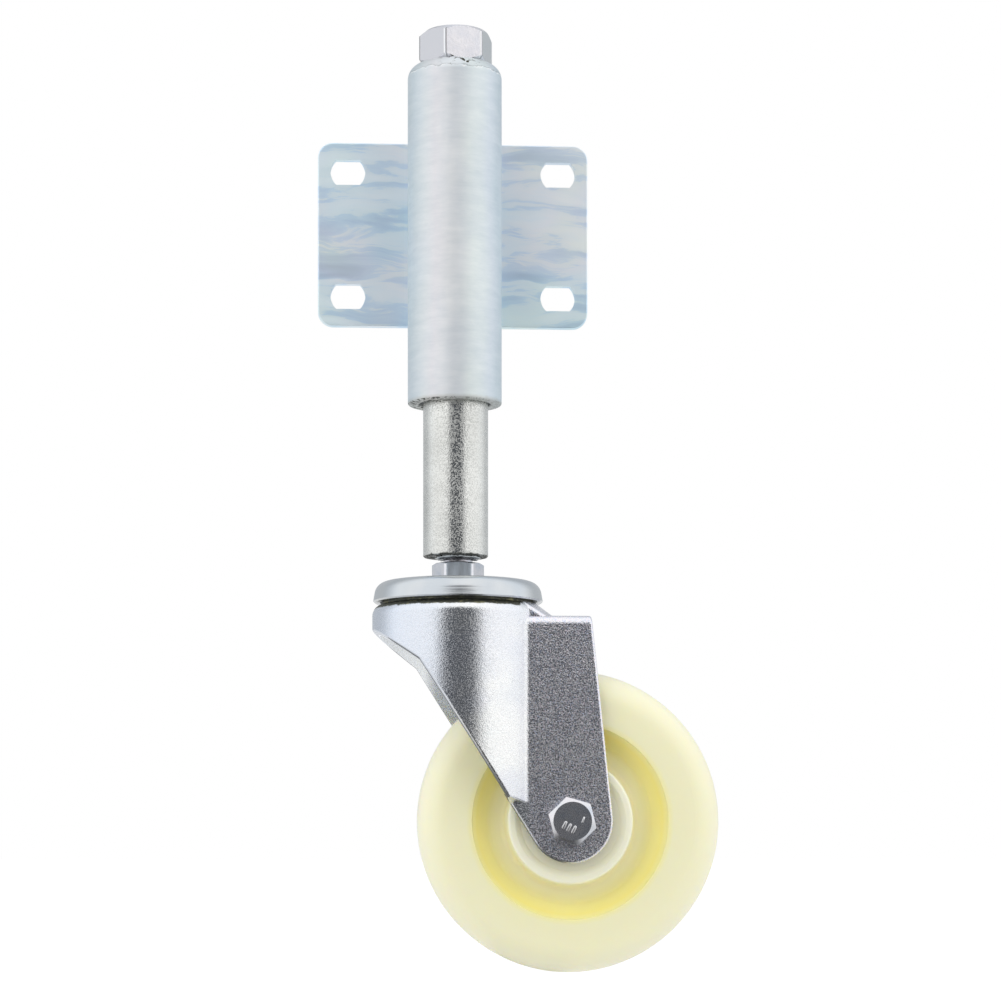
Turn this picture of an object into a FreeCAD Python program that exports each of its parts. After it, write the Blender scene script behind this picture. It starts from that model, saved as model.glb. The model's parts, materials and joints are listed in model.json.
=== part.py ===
import FreeCAD, Part
import math
import os
import Sketcher
import PartDesign

# Spring-loaded gate wheel: a flat plate with four slots is screwed to the gate, a
# steel tube welded to it guides a sprung plunger, and the plunger carries a swivel
# fork with a nylon wheel.  Millimetres, +Z up.  The origin is the centre of the
# slot pattern on the plate's back face, the plate lies in the XZ plane, the tube
# stands in front of it on the -Y side, and the wheel trails towards +X.

os.makedirs("parts", exist_ok=True)
doc = FreeCAD.newDocument("GateWheel")

# ---------------------------------------------------------------- driving sizes
# alias, value, note
SIZES = [
    # mounting plate
    ("plate_w", 93.0, "plate width"),
    ("plate_tall", 63.0, "plate height"),
    ("plate_thk", 3.0, "plate thickness"),
    ("plate_corner", 5.2, "plate corner radius"),
    ("plate_soft", 0.45, "rounding of the plate's front rim"),
    ("slot_dx", 72.4, "slot spacing, horizontal"),
    ("slot_dz", 42.7, "slot spacing, vertical"),
    ("slot_half", 4.3, "half of the clear slot width"),
    ("slot_long", 12.0, "slot length"),
    ("slot_round", 5.92, "radius of the circle the slot ends are cut with"),
    # housing tube
    ("tube_rad", 15.9, "housing tube outer radius"),
    ("tube_bore", 12.1, "housing tube bore radius"),
    ("tube_low", -61.2, "housing tube lower end"),
    ("tube_high", 53.4, "housing tube upper end"),
    ("tube_mouth", 8.6, "radius of the opening in the closed-in top"),
    ("tube_lip", 4.0, "thickness of the closed-in top"),
    ("tube_shoulder", 4.6, "rounding of the tube's top edge"),
    ("tube_soft_out", 0.7, "rounding of the lower end, outside"),
    ("tube_soft_in", 0.5, "rounding of the lower end, bore"),
    # weld beads
    ("bead_from", 3.5, "near end of each bead from the plate's middle height"),
    ("bead_long", 23.0, "bead length"),
    # guide bush
    ("bush_bore", 7.65, "guide bush bore radius"),
    ("bush_low", 43.0, "guide bush lower face, the upper spring seat"),
    ("bush_soft", 0.6, "rounding of the bush's bore edges"),
    # sprung group
    ("lean", 0.3, "sideways play taken up by the sprung group"),
    ("swivel_x", 1.1, "swivel axis, a little off the plunger's centre"),
    ("rod_rad", 7.0, "guide rod radius"),
    ("rod_low", -46.2, "guide rod lower end"),
    ("rod_high", 64.0, "guide rod upper end"),
    ("rod_cham_low", 1.0, "guide rod chamfer, lower end"),
    ("rod_cham_high", 1.2, "guide rod chamfer, upper end"),
    ("topnut_af", 22.0, "top nut across flats"),
    ("topnut_tall", 11.2, "top nut height"),
    ("plunger_rad", 11.0, "plunger outer radius"),
    ("plunger_bore", 8.5, "plunger bore radius"),
    ("plunger_low", -112.7, "plunger lower end"),
    ("plunger_high", -34.2, "plunger tube upper end"),
    ("plunger_cham", 0.35, "plunger tube chamfer, lower end"),
    ("headplug_thk", 3.0, "thickness of the head plug flange"),
    ("headplug_deep", 12.0, "depth of the head plug spigot"),
    ("headplug_cham", 0.8, "chamfer of the head plug flange"),
    ("footplug_high", -91.0, "foot plug upper end"),
    ("footplug_inset", 0.4, "foot plug lower end above the plunger's"),
    ("wire_rad", 1.5, "spring wire radius"),
    ("coil_rad", 9.4, "spring mean coil radius"),
    ("coil_turns", 9.0, "spring turns"),
    ("coil_gap", 0.05, "clearance at each end of the spring"),
    # swivel head
    ("king_rad", 5.0, "swivel bolt radius"),
    ("king_gap", 0.1, "clearance of cap and cup round the swivel bolt"),
    ("king_high", -95.0, "swivel bolt upper end"),
    ("king_soft", 0.9, "rounding of the swivel bolt's tip"),
    ("king_af", 16.0, "swivel bolt head across flats"),
    ("king_head", 6.4, "swivel bolt head height"),
    ("swnut_af", 15.7, "swivel nut across flats"),
    ("swnut_tall", 6.3, "swivel nut height"),
    ("swnut_corner", 1.7, "rounding of the swivel nut's upright edges"),
    ("cap_top", -121.2, "top of the upper race cap"),
    ("cap_rim", -128.2, "rim of the upper race cap"),
    ("cap_rad", 28.7, "upper race cap radius at the rim"),
    ("cap_thk", 3.0, "upper race cap thickness"),
    ("cap_round_out", 4.4, "rounding of the cap's top edge"),
    ("cap_round_in", 1.4, "rounding inside the cap"),
    ("crown_top", -128.8, "top of the fork crown"),
    ("crown_rad", 29.0, "fork crown radius"),
    ("lip_out", 25.6, "outer radius of the crown's raised track ring"),
    ("lip_in", 24.9, "inner radius of the crown's raised track ring"),
    ("lip_top", -127.6, "top of the crown's raised track ring"),
    ("lip_root", 1.2, "depth the track ring reaches into the crown"),
    ("crown_hole", 8.5, "radius of the hole in the crown"),
    ("uball_rad", 3.175, "upper race ball radius"),
    ("uball_pitch", 21.5, "upper race pitch radius"),
    ("uball_z", -126.25, "upper race ball centre"),
    ("uball_n", 20, "upper race ball count"),
    ("lball_rad", 2.5, "lower race ball radius"),
    ("lball_pitch", 13.2, "lower race pitch radius"),
    ("lball_z", -133.3, "lower race ball centre"),
    ("lball_n", 15, "lower race ball count"),
    ("cup_top", -135.3, "top face of the lower race cup"),
    ("cup_low", -137.8, "bottom face of the lower race cup"),
    ("cup_rad", 17.8, "lower race cup radius"),
    ("cup_lip", -133.6, "top of the lower race cup's turned-up edge"),
    ("cup_wall", 1.4, "thickness of the turned-up edge"),
    ("cup_cham", 1.2, "chamfer of the cup's lower edge"),
    ("race_gap", 0.04, "clearance of the tracks around the balls"),
    # fork
    ("sheet", 2.5, "fork sheet thickness"),
    ("leg_out", 19.0, "fork leg outer face from the swivel axis"),
    ("block_deep", 30.0, "reach of the untrimmed fork below the axle"),
    ("web_top", -133.7, "top of the fork's web, on the +X side"),
    ("web_end", 43.8, "end of the web from the swivel axis"),
    ("leg_rad", 14.0, "radius of the fork leg's lower end"),
    ("leg_angle", 57.5, "slope of the fork leg's leading edge, degrees"),
    ("skirt_z", -137.6, "lower edge of the crown skirt, on the -X side"),
    ("skirt_slope", 36.1, "slope of the skirt's lower edge, degrees"),
    ("axle_hole", 4.15, "axle hole radius in the fork"),
    # flat feet of the fork legs
    ("foot_step", -196.2, "height below which the leg's foot is pressed flat"),
    ("foot_x", 5.0, "start of the flat, from the swivel axis"),
    ("foot_long", 19.5, "length of the flat"),
    ("rib_y", 17.5, "inner side of the rib block above the flat"),
    ("rib_wide", 7.0, "width of the rib block"),
    ("rib_tall", 3.6, "height of the rib block"),
    ("rib_drop", 0.6, "bottom of the rib block below the step"),
    ("rake_x", 2.0, "start of the raking cut, from the swivel axis"),
    ("rake_deep", 6.0, "width of the raking cut"),
    ("rake_rise", 2.4, "rise of the raking cut over its width"),
    ("rake_low", -240.0, "bottom of the raking cut, below the fork"),
    # sloping shoulder between crown and web
    ("slope_out", 6.4, "shoulder cone's foot outside the crown radius"),
    ("slope_in", 2.2, "shoulder cone's top inside the crown radius"),
    ("slope_tall", 6.4, "shoulder cone height"),
    ("slope_drop", 6.5, "shoulder cone's foot below the crown top"),
    ("slope_x", 20.0, "start of the shoulder from the swivel axis"),
    ("slope_half", 17.5, "half of the shoulder's width"),
    ("slope_soft", 1.6, "rounding of the shoulder's side edges"),
    # axle and wheel
    ("trail", 37.0, "axle behind the swivel axis"),
    ("axle_z", -202.2, "axle height"),
    ("axle_rad", 4.0, "axle bolt radius"),
    ("axle_af", 14.3, "axle bolt head across flats"),
    ("axle_head", 5.3, "axle bolt head height"),
    ("axle_tip", 28.6, "axle bolt tip from the wheel's mid plane"),
    ("axle_soft", 0.7, "rounding of the axle bolt's tip"),
    ("axnut_af", 13.0, "axle nut across flats"),
    ("axnut_tall", 8.0, "axle nut height"),
    ("sleeve_rad", 5.0, "axle sleeve outer radius"),
    ("sleeve_bore", 4.1, "axle sleeve bore radius"),
    ("side_rad", 7.0, "side spacer outer radius"),
    ("wheel_rad", 50.8, "wheel radius"),
    ("wheel_half", 15.0, "half of the tread width"),
    ("hub_half", 15.5, "half of the hub width"),
    ("hub_rad", 20.9, "hub radius"),
    ("hub_soft", 1.0, "rounding of the hub's outer edge"),
    ("seat_rad", 11.0, "wheel bore radius between the bearings"),
    ("tread_round", 8.8, "rounding between the wheel's face and its tread"),
    ("recess_rad", 33.0, "outer radius of the recess in the wheel's face"),
    ("recess_floor", 8.2, "recess floor from the mid plane"),
    ("recess_round_in", 2.0, "rounding of the recess floor at the hub"),
    ("recess_round_out", 2.4, "rounding of the recess floor at the rim"),
    # ball bearings 10 x 26 x 8
    ("brg_half", 4.0, "half of the bearing width"),
    ("brg_y", 10.5, "bearing centre from the wheel's mid plane"),
    ("brg_in", 5.0, "bearing bore radius"),
    ("brg_land_in", 7.2, "inner ring land radius"),
    ("brg_land_out", 10.8, "outer ring land radius"),
    ("brg_out", 13.0, "bearing outer radius"),
    ("brg_soft", 0.4, "rounding of the outer ring's edges"),
    ("brg_pitch", 9.0, "bearing pitch radius"),
    ("brg_ball", 2.38, "bearing ball radius"),
    ("brg_n", 7, "bearing ball count"),
    ("shield_thk", 0.3, "bearing shield thickness"),
    ("shield_inset", 0.15, "shield below the bearing's face"),
    ("shield_gap", 0.2, "clearance between shield and inner ring"),
    ("cage_half", 0.9, "half of the cage's radial thickness"),
    ("cage_deep", 3.25, "cage reach towards the wheel's mid plane"),
    ("cage_edge", 0.7, "cage reach away from the mid plane"),
    ("pocket_deep", 2.5, "pocket reach towards the mid plane"),
    ("pocket_edge", 1.2, "pocket reach away from the mid plane"),
    ("pocket_gap", 0.09, "clearance of the cage pockets round the balls"),
]
sheet = doc.addObject("Spreadsheet::Sheet", "Sizes")
for row, (alias, value, note) in enumerate(SIZES, start=1):
    sheet.set("A%d" % row, note)
    sheet.set("B%d" % row, str(value))
    sheet.setAlias("B%d" % row, alias)
doc.recompute()

probe = doc.addObject("App::FeaturePython", "Probe")  # works out expressions

# Positions, as expressions over the sheet.
AXIS_Y = "-(Sizes.plate_thk + Sizes.tube_rad)"  # the tube's axis, and the swivel's
HOUSING = ("0", AXIS_Y, "0")
SPRUNG = ("Sizes.lean", AXIS_Y, "0")
SWIVEL = ("Sizes.swivel_x", AXIS_Y, "0")
AXLE = ("Sizes.swivel_x + Sizes.trail", AXIS_Y, "Sizes.axle_z")

# Shared heights and widths.
TUBE_ROOF = "Sizes.tube_high - Sizes.tube_lip"
LEG_IN = "(Sizes.leg_out - Sizes.sheet)"

SIDES = (("front", -1), ("rear", 1))  # -Y and +Y side of the wheel
OUT = {}  # node name -> object


# ---------------------------------------------------------------- reading sizes
def size(alias):
    """A driving size, read from the sheet."""
    return float(sheet.get(alias))


def value_of(expr):
    """The value of an expression over the sheet."""
    return float(probe.evalExpression(expr))


def same(a, b):
    return abs(a - b) < 1e-3


def from_z(point):
    """Distance from the Z axis."""
    return math.hypot(point.x, point.y)


def from_y(point):
    """Distance from the Y axis."""
    return math.hypot(point.x, point.z)


# ---------------------------------------------------------------- document objects
def at(obj, x="0", y="0", z="0"):
    """Bind the position of an object to the sheet."""
    obj.setExpression("Placement.Base.x", x)
    obj.setExpression("Placement.Base.y", y)
    obj.setExpression("Placement.Base.z", z)
    return obj


def turn(obj, axis, angle):
    rotation = FreeCAD.Rotation(FreeCAD.Vector(*axis), angle)
    obj.Placement = FreeCAD.Placement(FreeCAD.Vector(0, 0, 0), rotation)
    return obj


def lay(obj):
    """Turn a piece so that its height runs along +Y."""
    return turn(obj, (1, 0, 0), -90)


def prim(kind, name, **props):
    """A primitive with its properties bound to expressions."""
    obj = doc.addObject(kind, name)
    for key, expr in props.items():
        obj.setExpression(key, expr)
    return obj


def cylinder(name, radius, low, tall):
    return at(prim("Part::Cylinder", name, Radius=radius, Height=tall), z=low)


def cut(name, base, *tools):
    tool = tools[0]
    if len(tools) > 1:
        tool = doc.addObject("Part::MultiFuse", name + "_tools")
        tool.Shapes = list(tools)
    obj = doc.addObject("Part::Cut", name)
    obj.Base, obj.Tool = base, tool
    return obj


def fuse(name, *shapes):
    obj = doc.addObject("Part::MultiFuse", name)
    obj.Shapes = list(shapes)
    obj.Refine = True
    return obj


def common(name, base, tool):
    obj = doc.addObject("Part::Common", name)
    obj.Base, obj.Tool = base, tool
    return obj


def compound(name, links):
    obj = doc.addObject("Part::Compound", name)
    obj.Links = links
    return obj


def extrusion(name, sketch, direction, forward, backward=0):
    obj = doc.addObject("Part::Extrusion", name)
    obj.Base = sketch
    obj.DirMode = "Custom"
    obj.Dir = FreeCAD.Vector(*direction)
    obj.LengthFwd = forward
    obj.LengthRev = backward
    obj.Solid = True
    return obj


def node(name, obj):
    """Label a finished piece and list it for export."""
    obj.Label = name
    OUT[name] = obj


# ---------------------------------------------------------------- rounding
def midpoint(edge):
    return edge.valueAt((edge.FirstParameter + edge.LastParameter) / 2)


def fillet(name, base, radius_of):
    """Part::Fillet over the edges for which radius_of(edge, midpoint) gives a radius."""
    doc.recompute()
    picked = []
    for i, edge in enumerate(base.Shape.Edges, start=1):
        radius = radius_of(edge, midpoint(edge))
        if radius:
            picked.append((i, radius, radius))
    obj = doc.addObject("Part::Fillet", name)
    obj.Base = base
    obj.Edges = picked
    doc.recompute()
    if "Invalid" in obj.State or obj.Shape.isNull() or not obj.Shape.isValid():
        raise RuntimeError("fillet %s failed on %d edges" % (name, len(picked)))
    return obj


def try_fillet(name, base, radius_of):
    """A fillet, or None where the edges cannot take the radius."""
    # Guards against trimmed edges that the rounding may not be able to follow.
    try:
        return fillet(name, base, radius_of)
    except Exception:
        if doc.getObject(name) is not None:
            doc.removeObject(name)
        return None


def round_body(body, name, radius_of):
    """Round a body's edges, one PartDesign fillet per radius, the largest first."""
    doc.recompute()
    groups = {}
    for edge in body.Tip.Shape.Edges:
        mid = midpoint(edge)
        radius = radius_of(edge, mid)
        if radius:
            groups.setdefault(radius, []).append(mid)
    for k, (radius, mids) in enumerate(sorted(groups.items(), reverse=True)):
        tip = body.Tip
        names = []
        for i, edge in enumerate(tip.Shape.Edges, start=1):
            mid = midpoint(edge)
            if any((mid - wanted).Length < 0.05 for wanted in mids):
                names.append("Edge%d" % i)
        if not names:
            continue
        step = body.newObject("PartDesign::Fillet", "%s_round%d" % (name, k))
        step.Base = (tip, names)
        step.Radius = radius
        body.Tip = step
        doc.recompute()
        if "Invalid" in step.State or step.Shape.isNull():
            raise RuntimeError("rounding of %s failed at radius %s" % (name, radius))


# ---------------------------------------------------------------- sketched pieces
def tie(sketch, line, expr, value, kind, axis):
    """Tie one coordinate of a line's start to an expression, or to the axis if zero."""
    if abs(value) < 1e-9:
        sketch.addConstraint(Sketcher.Constraint("PointOnObject", line, 1, axis))
        return
    index = sketch.addConstraint(Sketcher.Constraint(kind, -1, 1, line, 1, value))
    sketch.setExpression("Constraints[%d]" % index, expr)


def segment(start, end):
    return Part.LineSegment(FreeCAD.Vector(*start, 0), FreeCAD.Vector(*end, 0))


def outline(sketch, points):
    """A closed line loop whose every corner is tied to the sheet by expressions."""
    count = len(points)
    values = [(value_of(across), value_of(along)) for across, along in points]
    for i in range(count):
        sketch.addGeometry(segment(values[i], values[(i + 1) % count]), False)
    for i in range(count):
        sketch.addConstraint(Sketcher.Constraint("Coincident", i, 2, (i + 1) % count, 1))
    for i, (across, along) in enumerate(points):
        tie(sketch, i, across, values[i][0], "DistanceX", -2)
        tie(sketch, i, along, values[i][1], "DistanceY", -1)


def turned(name, points, axis="Z", base=("0", "0", "0")):
    """A closed outline of (radius, along) corners, revolved about Z or Y."""
    body = doc.addObject("PartDesign::Body", name + "_body")
    role = "XZ_Plane" if axis == "Z" else "XY_Plane"
    plane = [f for f in body.Origin.OriginFeatures if f.Role == role][0]
    sketch = body.newObject("Sketcher::SketchObject", name + "_outline")
    sketch.AttachmentSupport = [(plane, "")]
    sketch.MapMode = "FlatFace"
    outline(sketch, points)
    revolution = body.newObject("PartDesign::Revolution", name + "_turn")
    revolution.Profile = sketch
    revolution.ReferenceAxis = (sketch, ["V_Axis"])
    revolution.Angle = 360
    body.Tip = revolution
    return at(body, *base)


def ring(name, inner, outer, low, high, axis="Z", base=("0", "0", "0")):
    """A plain ring of rectangular section."""
    corners = [(inner, low), (outer, low), (outer, high), (inner, high)]
    return turned(name, corners, axis=axis, base=base)


# ---------------------------------------------------------------- nuts, bolts, balls
def hexagon(name, flats, low, tall, angle, top_cone=None, low_cone=None, slope=0.62, corner=None):
    """A hexagonal prism standing on `low`, turned by `angle` about Z.

    Cones of end radius top_cone and low_cone and the given slope (height per radius)
    turn its corners down; `corner` rounds its upright edges.
    """
    out = prim(
        "Part::Prism", name + "_hex", Circumradius="(%s) / 2 / cos(30 deg)" % flats, Height=tall
    )
    out.Polygon = 6
    at(turn(out, (0, 0, 1), angle), z=low)
    if corner:

        def upright(edge, mid):
            rise = edge.Vertexes[0].Point.z - edge.Vertexes[1].Point.z
            return corner if abs(rise) > 1 else None

        out = fillet(name + "_corners", out, upright)
    wide = "(%s) + (%s) / %s"
    if top_cone:
        cone = prim(
            "Part::Cone", name + "_topcone",
            Radius1=wide % (top_cone, tall, slope), Radius2=top_cone, Height=tall,
        )
        out = common(name + "_a", out, at(cone, z=low))
    if low_cone:
        cone = prim(
            "Part::Cone", name + "_lowcone",
            Radius1=low_cone, Radius2=wide % (low_cone, tall, slope), Height=tall,
        )
        out = common(name + "_b", out, at(cone, z=low))
    return out


def nut(name, flats, low, tall, angle, bore, **shape):
    """A hexagon with a plain bore."""
    blank = hexagon(name, flats, low, tall, angle, **shape)
    hole = cylinder(name + "_bore", bore, "%s - 1" % low, "%s + 2" % tall)
    return cut(name + "_body", blank, hole)


def bolt(name, head, radius, low, tall, tip, soft):
    """A hexagon head fused to a plain shank that is rounded at height `tip`."""
    shank = cylinder(name + "_shank", radius, low, tall)
    whole = fuse(name + "_fuse", head, shank)
    return fillet(name + "_soft", whole, lambda edge, mid: soft if same(mid.z, tip) else None)


def track(name, ball, pitch, z="0"):
    """The torus that cuts a ball track, standing about Z."""
    return at(prim("Part::Torus", name, Radius1=pitch, Radius2=ball + " + Sizes.race_gap"), z=z)


def ball_ring(name, radius, pitch, count, place, height=0.0, axis="Z", start=0.0):
    """Separate balls, evenly spaced on a pitch circle about Z or Y."""
    balls = []
    for i in range(int(count)):
        angle = 2 * math.pi * i / int(count) + start
        across, along = pitch * math.cos(angle), pitch * math.sin(angle)
        if axis == "Z":
            centre = FreeCAD.Vector(across, along, height)
        else:
            centre = FreeCAD.Vector(across, height, along)
        balls.append(Part.makeSphere(radius, centre))
    obj = doc.addObject("Part::Feature", name)
    obj.Shape = Part.makeCompound(balls)
    return at(obj, *place)


# ================================================================ plate and tube
def slot_tools(tag, x, z):
    """Tools for one slot: a disc cut to two flats, and a round at either end."""
    through = "Sizes.plate_thk * 3"
    back = "-2 * Sizes.plate_thk"
    disc = lay(prim("Part::Cylinder", tag + "_disc", Radius="Sizes.slot_round", Height=through))
    at(disc, x, back, z)
    flats = prim(
        "Part::Box", tag + "_flats",
        Length="Sizes.slot_long * 2", Width=through, Height="2 * Sizes.slot_half",
    )
    at(flats, x + " - Sizes.slot_long", back, z + " - Sizes.slot_half")
    tools = [common(tag + "_body", disc, flats)]
    for end in (-1, 1):
        name = "%s_end%d" % (tag, end + 1)
        cap = lay(prim("Part::Cylinder", name, Radius="Sizes.slot_half", Height=through))
        reach = " + %d * (Sizes.slot_long / 2 - Sizes.slot_half)" % end
        tools.append(at(cap, x + reach, back, z))
    return tools


def mounting_plate():
    half_w, half_tall = size("plate_w") / 2, size("plate_tall") / 2
    rim = 1.6  # the front edges this close to the outline are softened

    def at_corner(edge, mid):
        if same(abs(mid.x), half_w) and same(abs(mid.z), half_tall):
            return size("plate_corner")
        return None

    def front_rim(edge, mid):
        close = abs(abs(mid.x) - half_w) < rim or abs(abs(mid.z) - half_tall) < rim
        return size("plate_soft") if same(mid.y, -size("plate_thk")) and close else None

    blank = prim(
        "Part::Box", "plate_blank",
        Length="Sizes.plate_w", Width="Sizes.plate_thk", Height="Sizes.plate_tall",
    )
    at(blank, "-Sizes.plate_w / 2", "-Sizes.plate_thk", "-Sizes.plate_tall / 2")
    cornered = fillet("plate_corners", blank, at_corner)
    slots = []
    for sx, column in ((-1, "l"), (1, "r")):
        for sz, row in ((-1, "b"), (1, "u")):
            x = "%d * Sizes.slot_dx / 2" % sx
            z = "%d * Sizes.slot_dz / 2" % sz
            slots += slot_tools("slot_" + column + row, x, z)
    return fillet("plate_soft_edges", cut("plate_slotted", cornered, *slots), front_rim)


def housing_tube():
    def ends(edge, mid):
        radius = from_z(mid)
        if same(radius, size("tube_rad")) and same(mid.z, size("tube_high")):
            return size("tube_shoulder")
        if same(mid.z, size("tube_low")):
            return size("tube_soft_out") if radius > 14 else size("tube_soft_in")
        return None

    corners = [
        ("Sizes.tube_rad", "Sizes.tube_low"),
        ("Sizes.tube_rad", "Sizes.tube_high"),
        ("Sizes.tube_mouth", "Sizes.tube_high"),
        ("Sizes.tube_mouth", TUBE_ROOF),
        ("Sizes.tube_bore", TUBE_ROOF),
        ("Sizes.tube_bore", "Sizes.tube_low"),
    ]
    tube = turned("housing_tube", corners, base=HOUSING)
    round_body(tube, "tube", ends)
    return tube


# Section of a weld bead: distance from the tube's mid plane, distance in front of the
# plate's front face.
BEAD_SECTION = [(2.5, 0), (12.4, 0), (12.0, 1.3), (10.6, 3.0), (9.4, 3.6)]


def plate_welds():
    """Beads in the two grooves between the tube and the plate, two runs a side."""
    start, length = size("bead_from"), size("bead_long")
    beads = []
    for side, column in ((-1, "l"), (1, "r")):
        for z, row in ((-start - length, "b"), (start, "u")):
            tag = "bead_" + column + row
            sketch = doc.addObject("Sketcher::SketchObject", tag + "_outline")
            section = [
                ("%d * %s" % (side, x), "-Sizes.plate_thk - %s" % y) for x, y in BEAD_SECTION
            ]
            outline(sketch, section)
            run = extrusion(tag + "_run", sketch, (0, 0, 1), length)
            run.Placement.Base = FreeCAD.Vector(0, 0, z)
            beads.append(run)
    tool = prim(
        "Part::Cylinder", "bead_tool", Radius="Sizes.tube_rad", Height="Sizes.plate_tall * 1.5"
    )
    at(tool, "0", AXIS_Y, "-Sizes.plate_tall * 0.75")
    return cut("bead_cut", compound("bead_runs", beads), tool)


def rod_guide_bush():
    """Pressed under the tube's closed-in top: guides the rod and seats the spring."""
    bush = ring(
        "rod_guide_bush", "Sizes.bush_bore", "Sizes.tube_bore", "Sizes.bush_low", TUBE_ROOF,
        base=HOUSING,
    )
    round_body(bush, "bush", lambda edge, mid: size("bush_soft") if from_z(mid) < 9 else None)
    return bush


# ================================================================ sprung group
def guide_rod():
    corners = [
        ("0", "Sizes.rod_low"),
        ("Sizes.rod_rad - Sizes.rod_cham_low", "Sizes.rod_low"),
        ("Sizes.rod_rad", "Sizes.rod_low + Sizes.rod_cham_low"),
        ("Sizes.rod_rad", "Sizes.rod_high - Sizes.rod_cham_high"),
        ("Sizes.rod_rad - Sizes.rod_cham_high", "Sizes.rod_high"),
        ("0", "Sizes.rod_high"),
    ]
    return turned("guide_rod", corners, base=SPRUNG)


def top_lock_nut():
    body = nut(
        "topnut", "Sizes.topnut_af", "Sizes.tube_high", "Sizes.topnut_tall", -107.7,
        bore="Sizes.rod_rad", slope=0.84,
        top_cone="Sizes.topnut_af / 2 - 0.6", low_cone="Sizes.topnut_af / 2 - 0.1",
    )
    return at(body, *SPRUNG)


def plunger_tube():
    corners = [
        ("Sizes.plunger_bore", "Sizes.plunger_low"),
        ("Sizes.plunger_rad - Sizes.plunger_cham", "Sizes.plunger_low"),
        ("Sizes.plunger_rad", "Sizes.plunger_low + Sizes.plunger_cham"),
        ("Sizes.plunger_rad", "Sizes.plunger_high"),
        ("Sizes.plunger_bore", "Sizes.plunger_high"),
    ]
    return turned("plunger_tube", corners, base=SPRUNG)


def plunger_head_plug():
    low = "Sizes.plunger_high - Sizes.headplug_deep"
    high = "Sizes.plunger_high + Sizes.headplug_thk"
    corners = [
        ("Sizes.rod_rad", low),
        ("Sizes.plunger_bore", low),
        ("Sizes.plunger_bore", "Sizes.plunger_high"),
        ("Sizes.plunger_rad", "Sizes.plunger_high"),
        ("Sizes.plunger_rad", high + " - Sizes.headplug_cham"),
        ("Sizes.plunger_rad - Sizes.headplug_cham", high),
        ("Sizes.rod_rad", high),
    ]
    return turned("plunger_head_plug", corners, base=SPRUNG)


def plunger_foot_plug():
    """Solid plug, drilled on the swivel axis for the swivel bolt."""
    blank = ring(
        "plunger_foot_plug", "0", "Sizes.plunger_bore",
        "Sizes.plunger_low + Sizes.footplug_inset", "Sizes.footplug_high", base=SPRUNG,
    )
    hole = prim("Part::Cylinder", "foot_hole", Radius="Sizes.king_rad", Height="60")
    at(hole, "Sizes.swivel_x", AXIS_Y, "Sizes.plunger_low - 10")
    return cut("foot_drilled", blank, hole)


def compression_spring():
    """Coil between the plunger's head plug and the guide bush."""
    seat = "Sizes.plunger_high + Sizes.headplug_thk"
    rise = "(Sizes.bush_low - (%s) - 2 * Sizes.wire_rad - 2 * Sizes.coil_gap)" % seat
    path = prim(
        "Part::Helix", "spring_path",
        Radius="Sizes.coil_rad", Height=rise, Pitch=rise + " / Sizes.coil_turns",
    )
    wire = turn(prim("Part::Circle", "spring_wire", Radius="Sizes.wire_rad"), (1, 0, 0), 90)
    at(wire, x="Sizes.coil_rad")
    coil = doc.addObject("Part::Sweep", "spring_coil")
    coil.Sections = [wire]
    coil.Spine = (path, [])
    coil.Solid = True
    coil.Frenet = True
    return at(coil, "Sizes.lean", AXIS_Y, seat + " + Sizes.wire_rad + Sizes.coil_gap")


# ================================================================ swivel head
def swivel_bolt():
    """Stands head down."""
    head = hexagon(
        "king", "Sizes.king_af", "Sizes.cup_low - Sizes.king_head", "Sizes.king_head", 0.0,
        low_cone="Sizes.king_af / 2 - 0.4", slope=0.6,
    )
    body = bolt(
        "king", head, "Sizes.king_rad", "Sizes.cup_low", "Sizes.king_high - Sizes.cup_low",
        tip=size("king_high"), soft=size("king_soft"),
    )
    return at(body, *SWIVEL)


def swivel_lock_nut():
    body = nut(
        "swnut", "Sizes.swnut_af", "Sizes.cap_top", "Sizes.swnut_tall", 0.0,
        bore="Sizes.king_rad", top_cone="Sizes.swnut_af / 2 - 0.1", slope=0.6,
        corner=size("swnut_corner"),
    )
    return at(body, *SWIVEL)


def upper_race_cap():
    """Shallow inverted dish with a ball track cut in its underside."""
    roof = "Sizes.cap_top - Sizes.cap_thk"
    corners = [
        ("Sizes.king_rad + Sizes.king_gap", "Sizes.cap_top"),
        ("Sizes.cap_rad - 1.1", "Sizes.cap_top"),
        ("Sizes.cap_rad", "Sizes.cap_rim + 0.5"),
        ("Sizes.cap_rad - 0.5", "Sizes.cap_rim"),
        ("Sizes.cap_rad - 2.3", "Sizes.cap_rim"),
        ("Sizes.cap_rad - 3.0", roof),
        ("Sizes.king_rad + Sizes.king_gap", roof),
    ]

    def outer_bends(edge, mid):
        if from_z(mid) <= 20:
            return None
        if same(mid.z, size("cap_top")):
            return size("cap_round_out")
        if same(mid.z, value_of(roof)):
            return size("cap_round_in")
        return None

    blank = turned("race_cap_blank", corners)
    round_body(blank, "cap", outer_bends)
    groove = track("cap_track", "Sizes.uball_rad", "Sizes.uball_pitch", "Sizes.uball_z")
    return at(cut("race_cap_cut", blank, groove), *SWIVEL)


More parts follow.
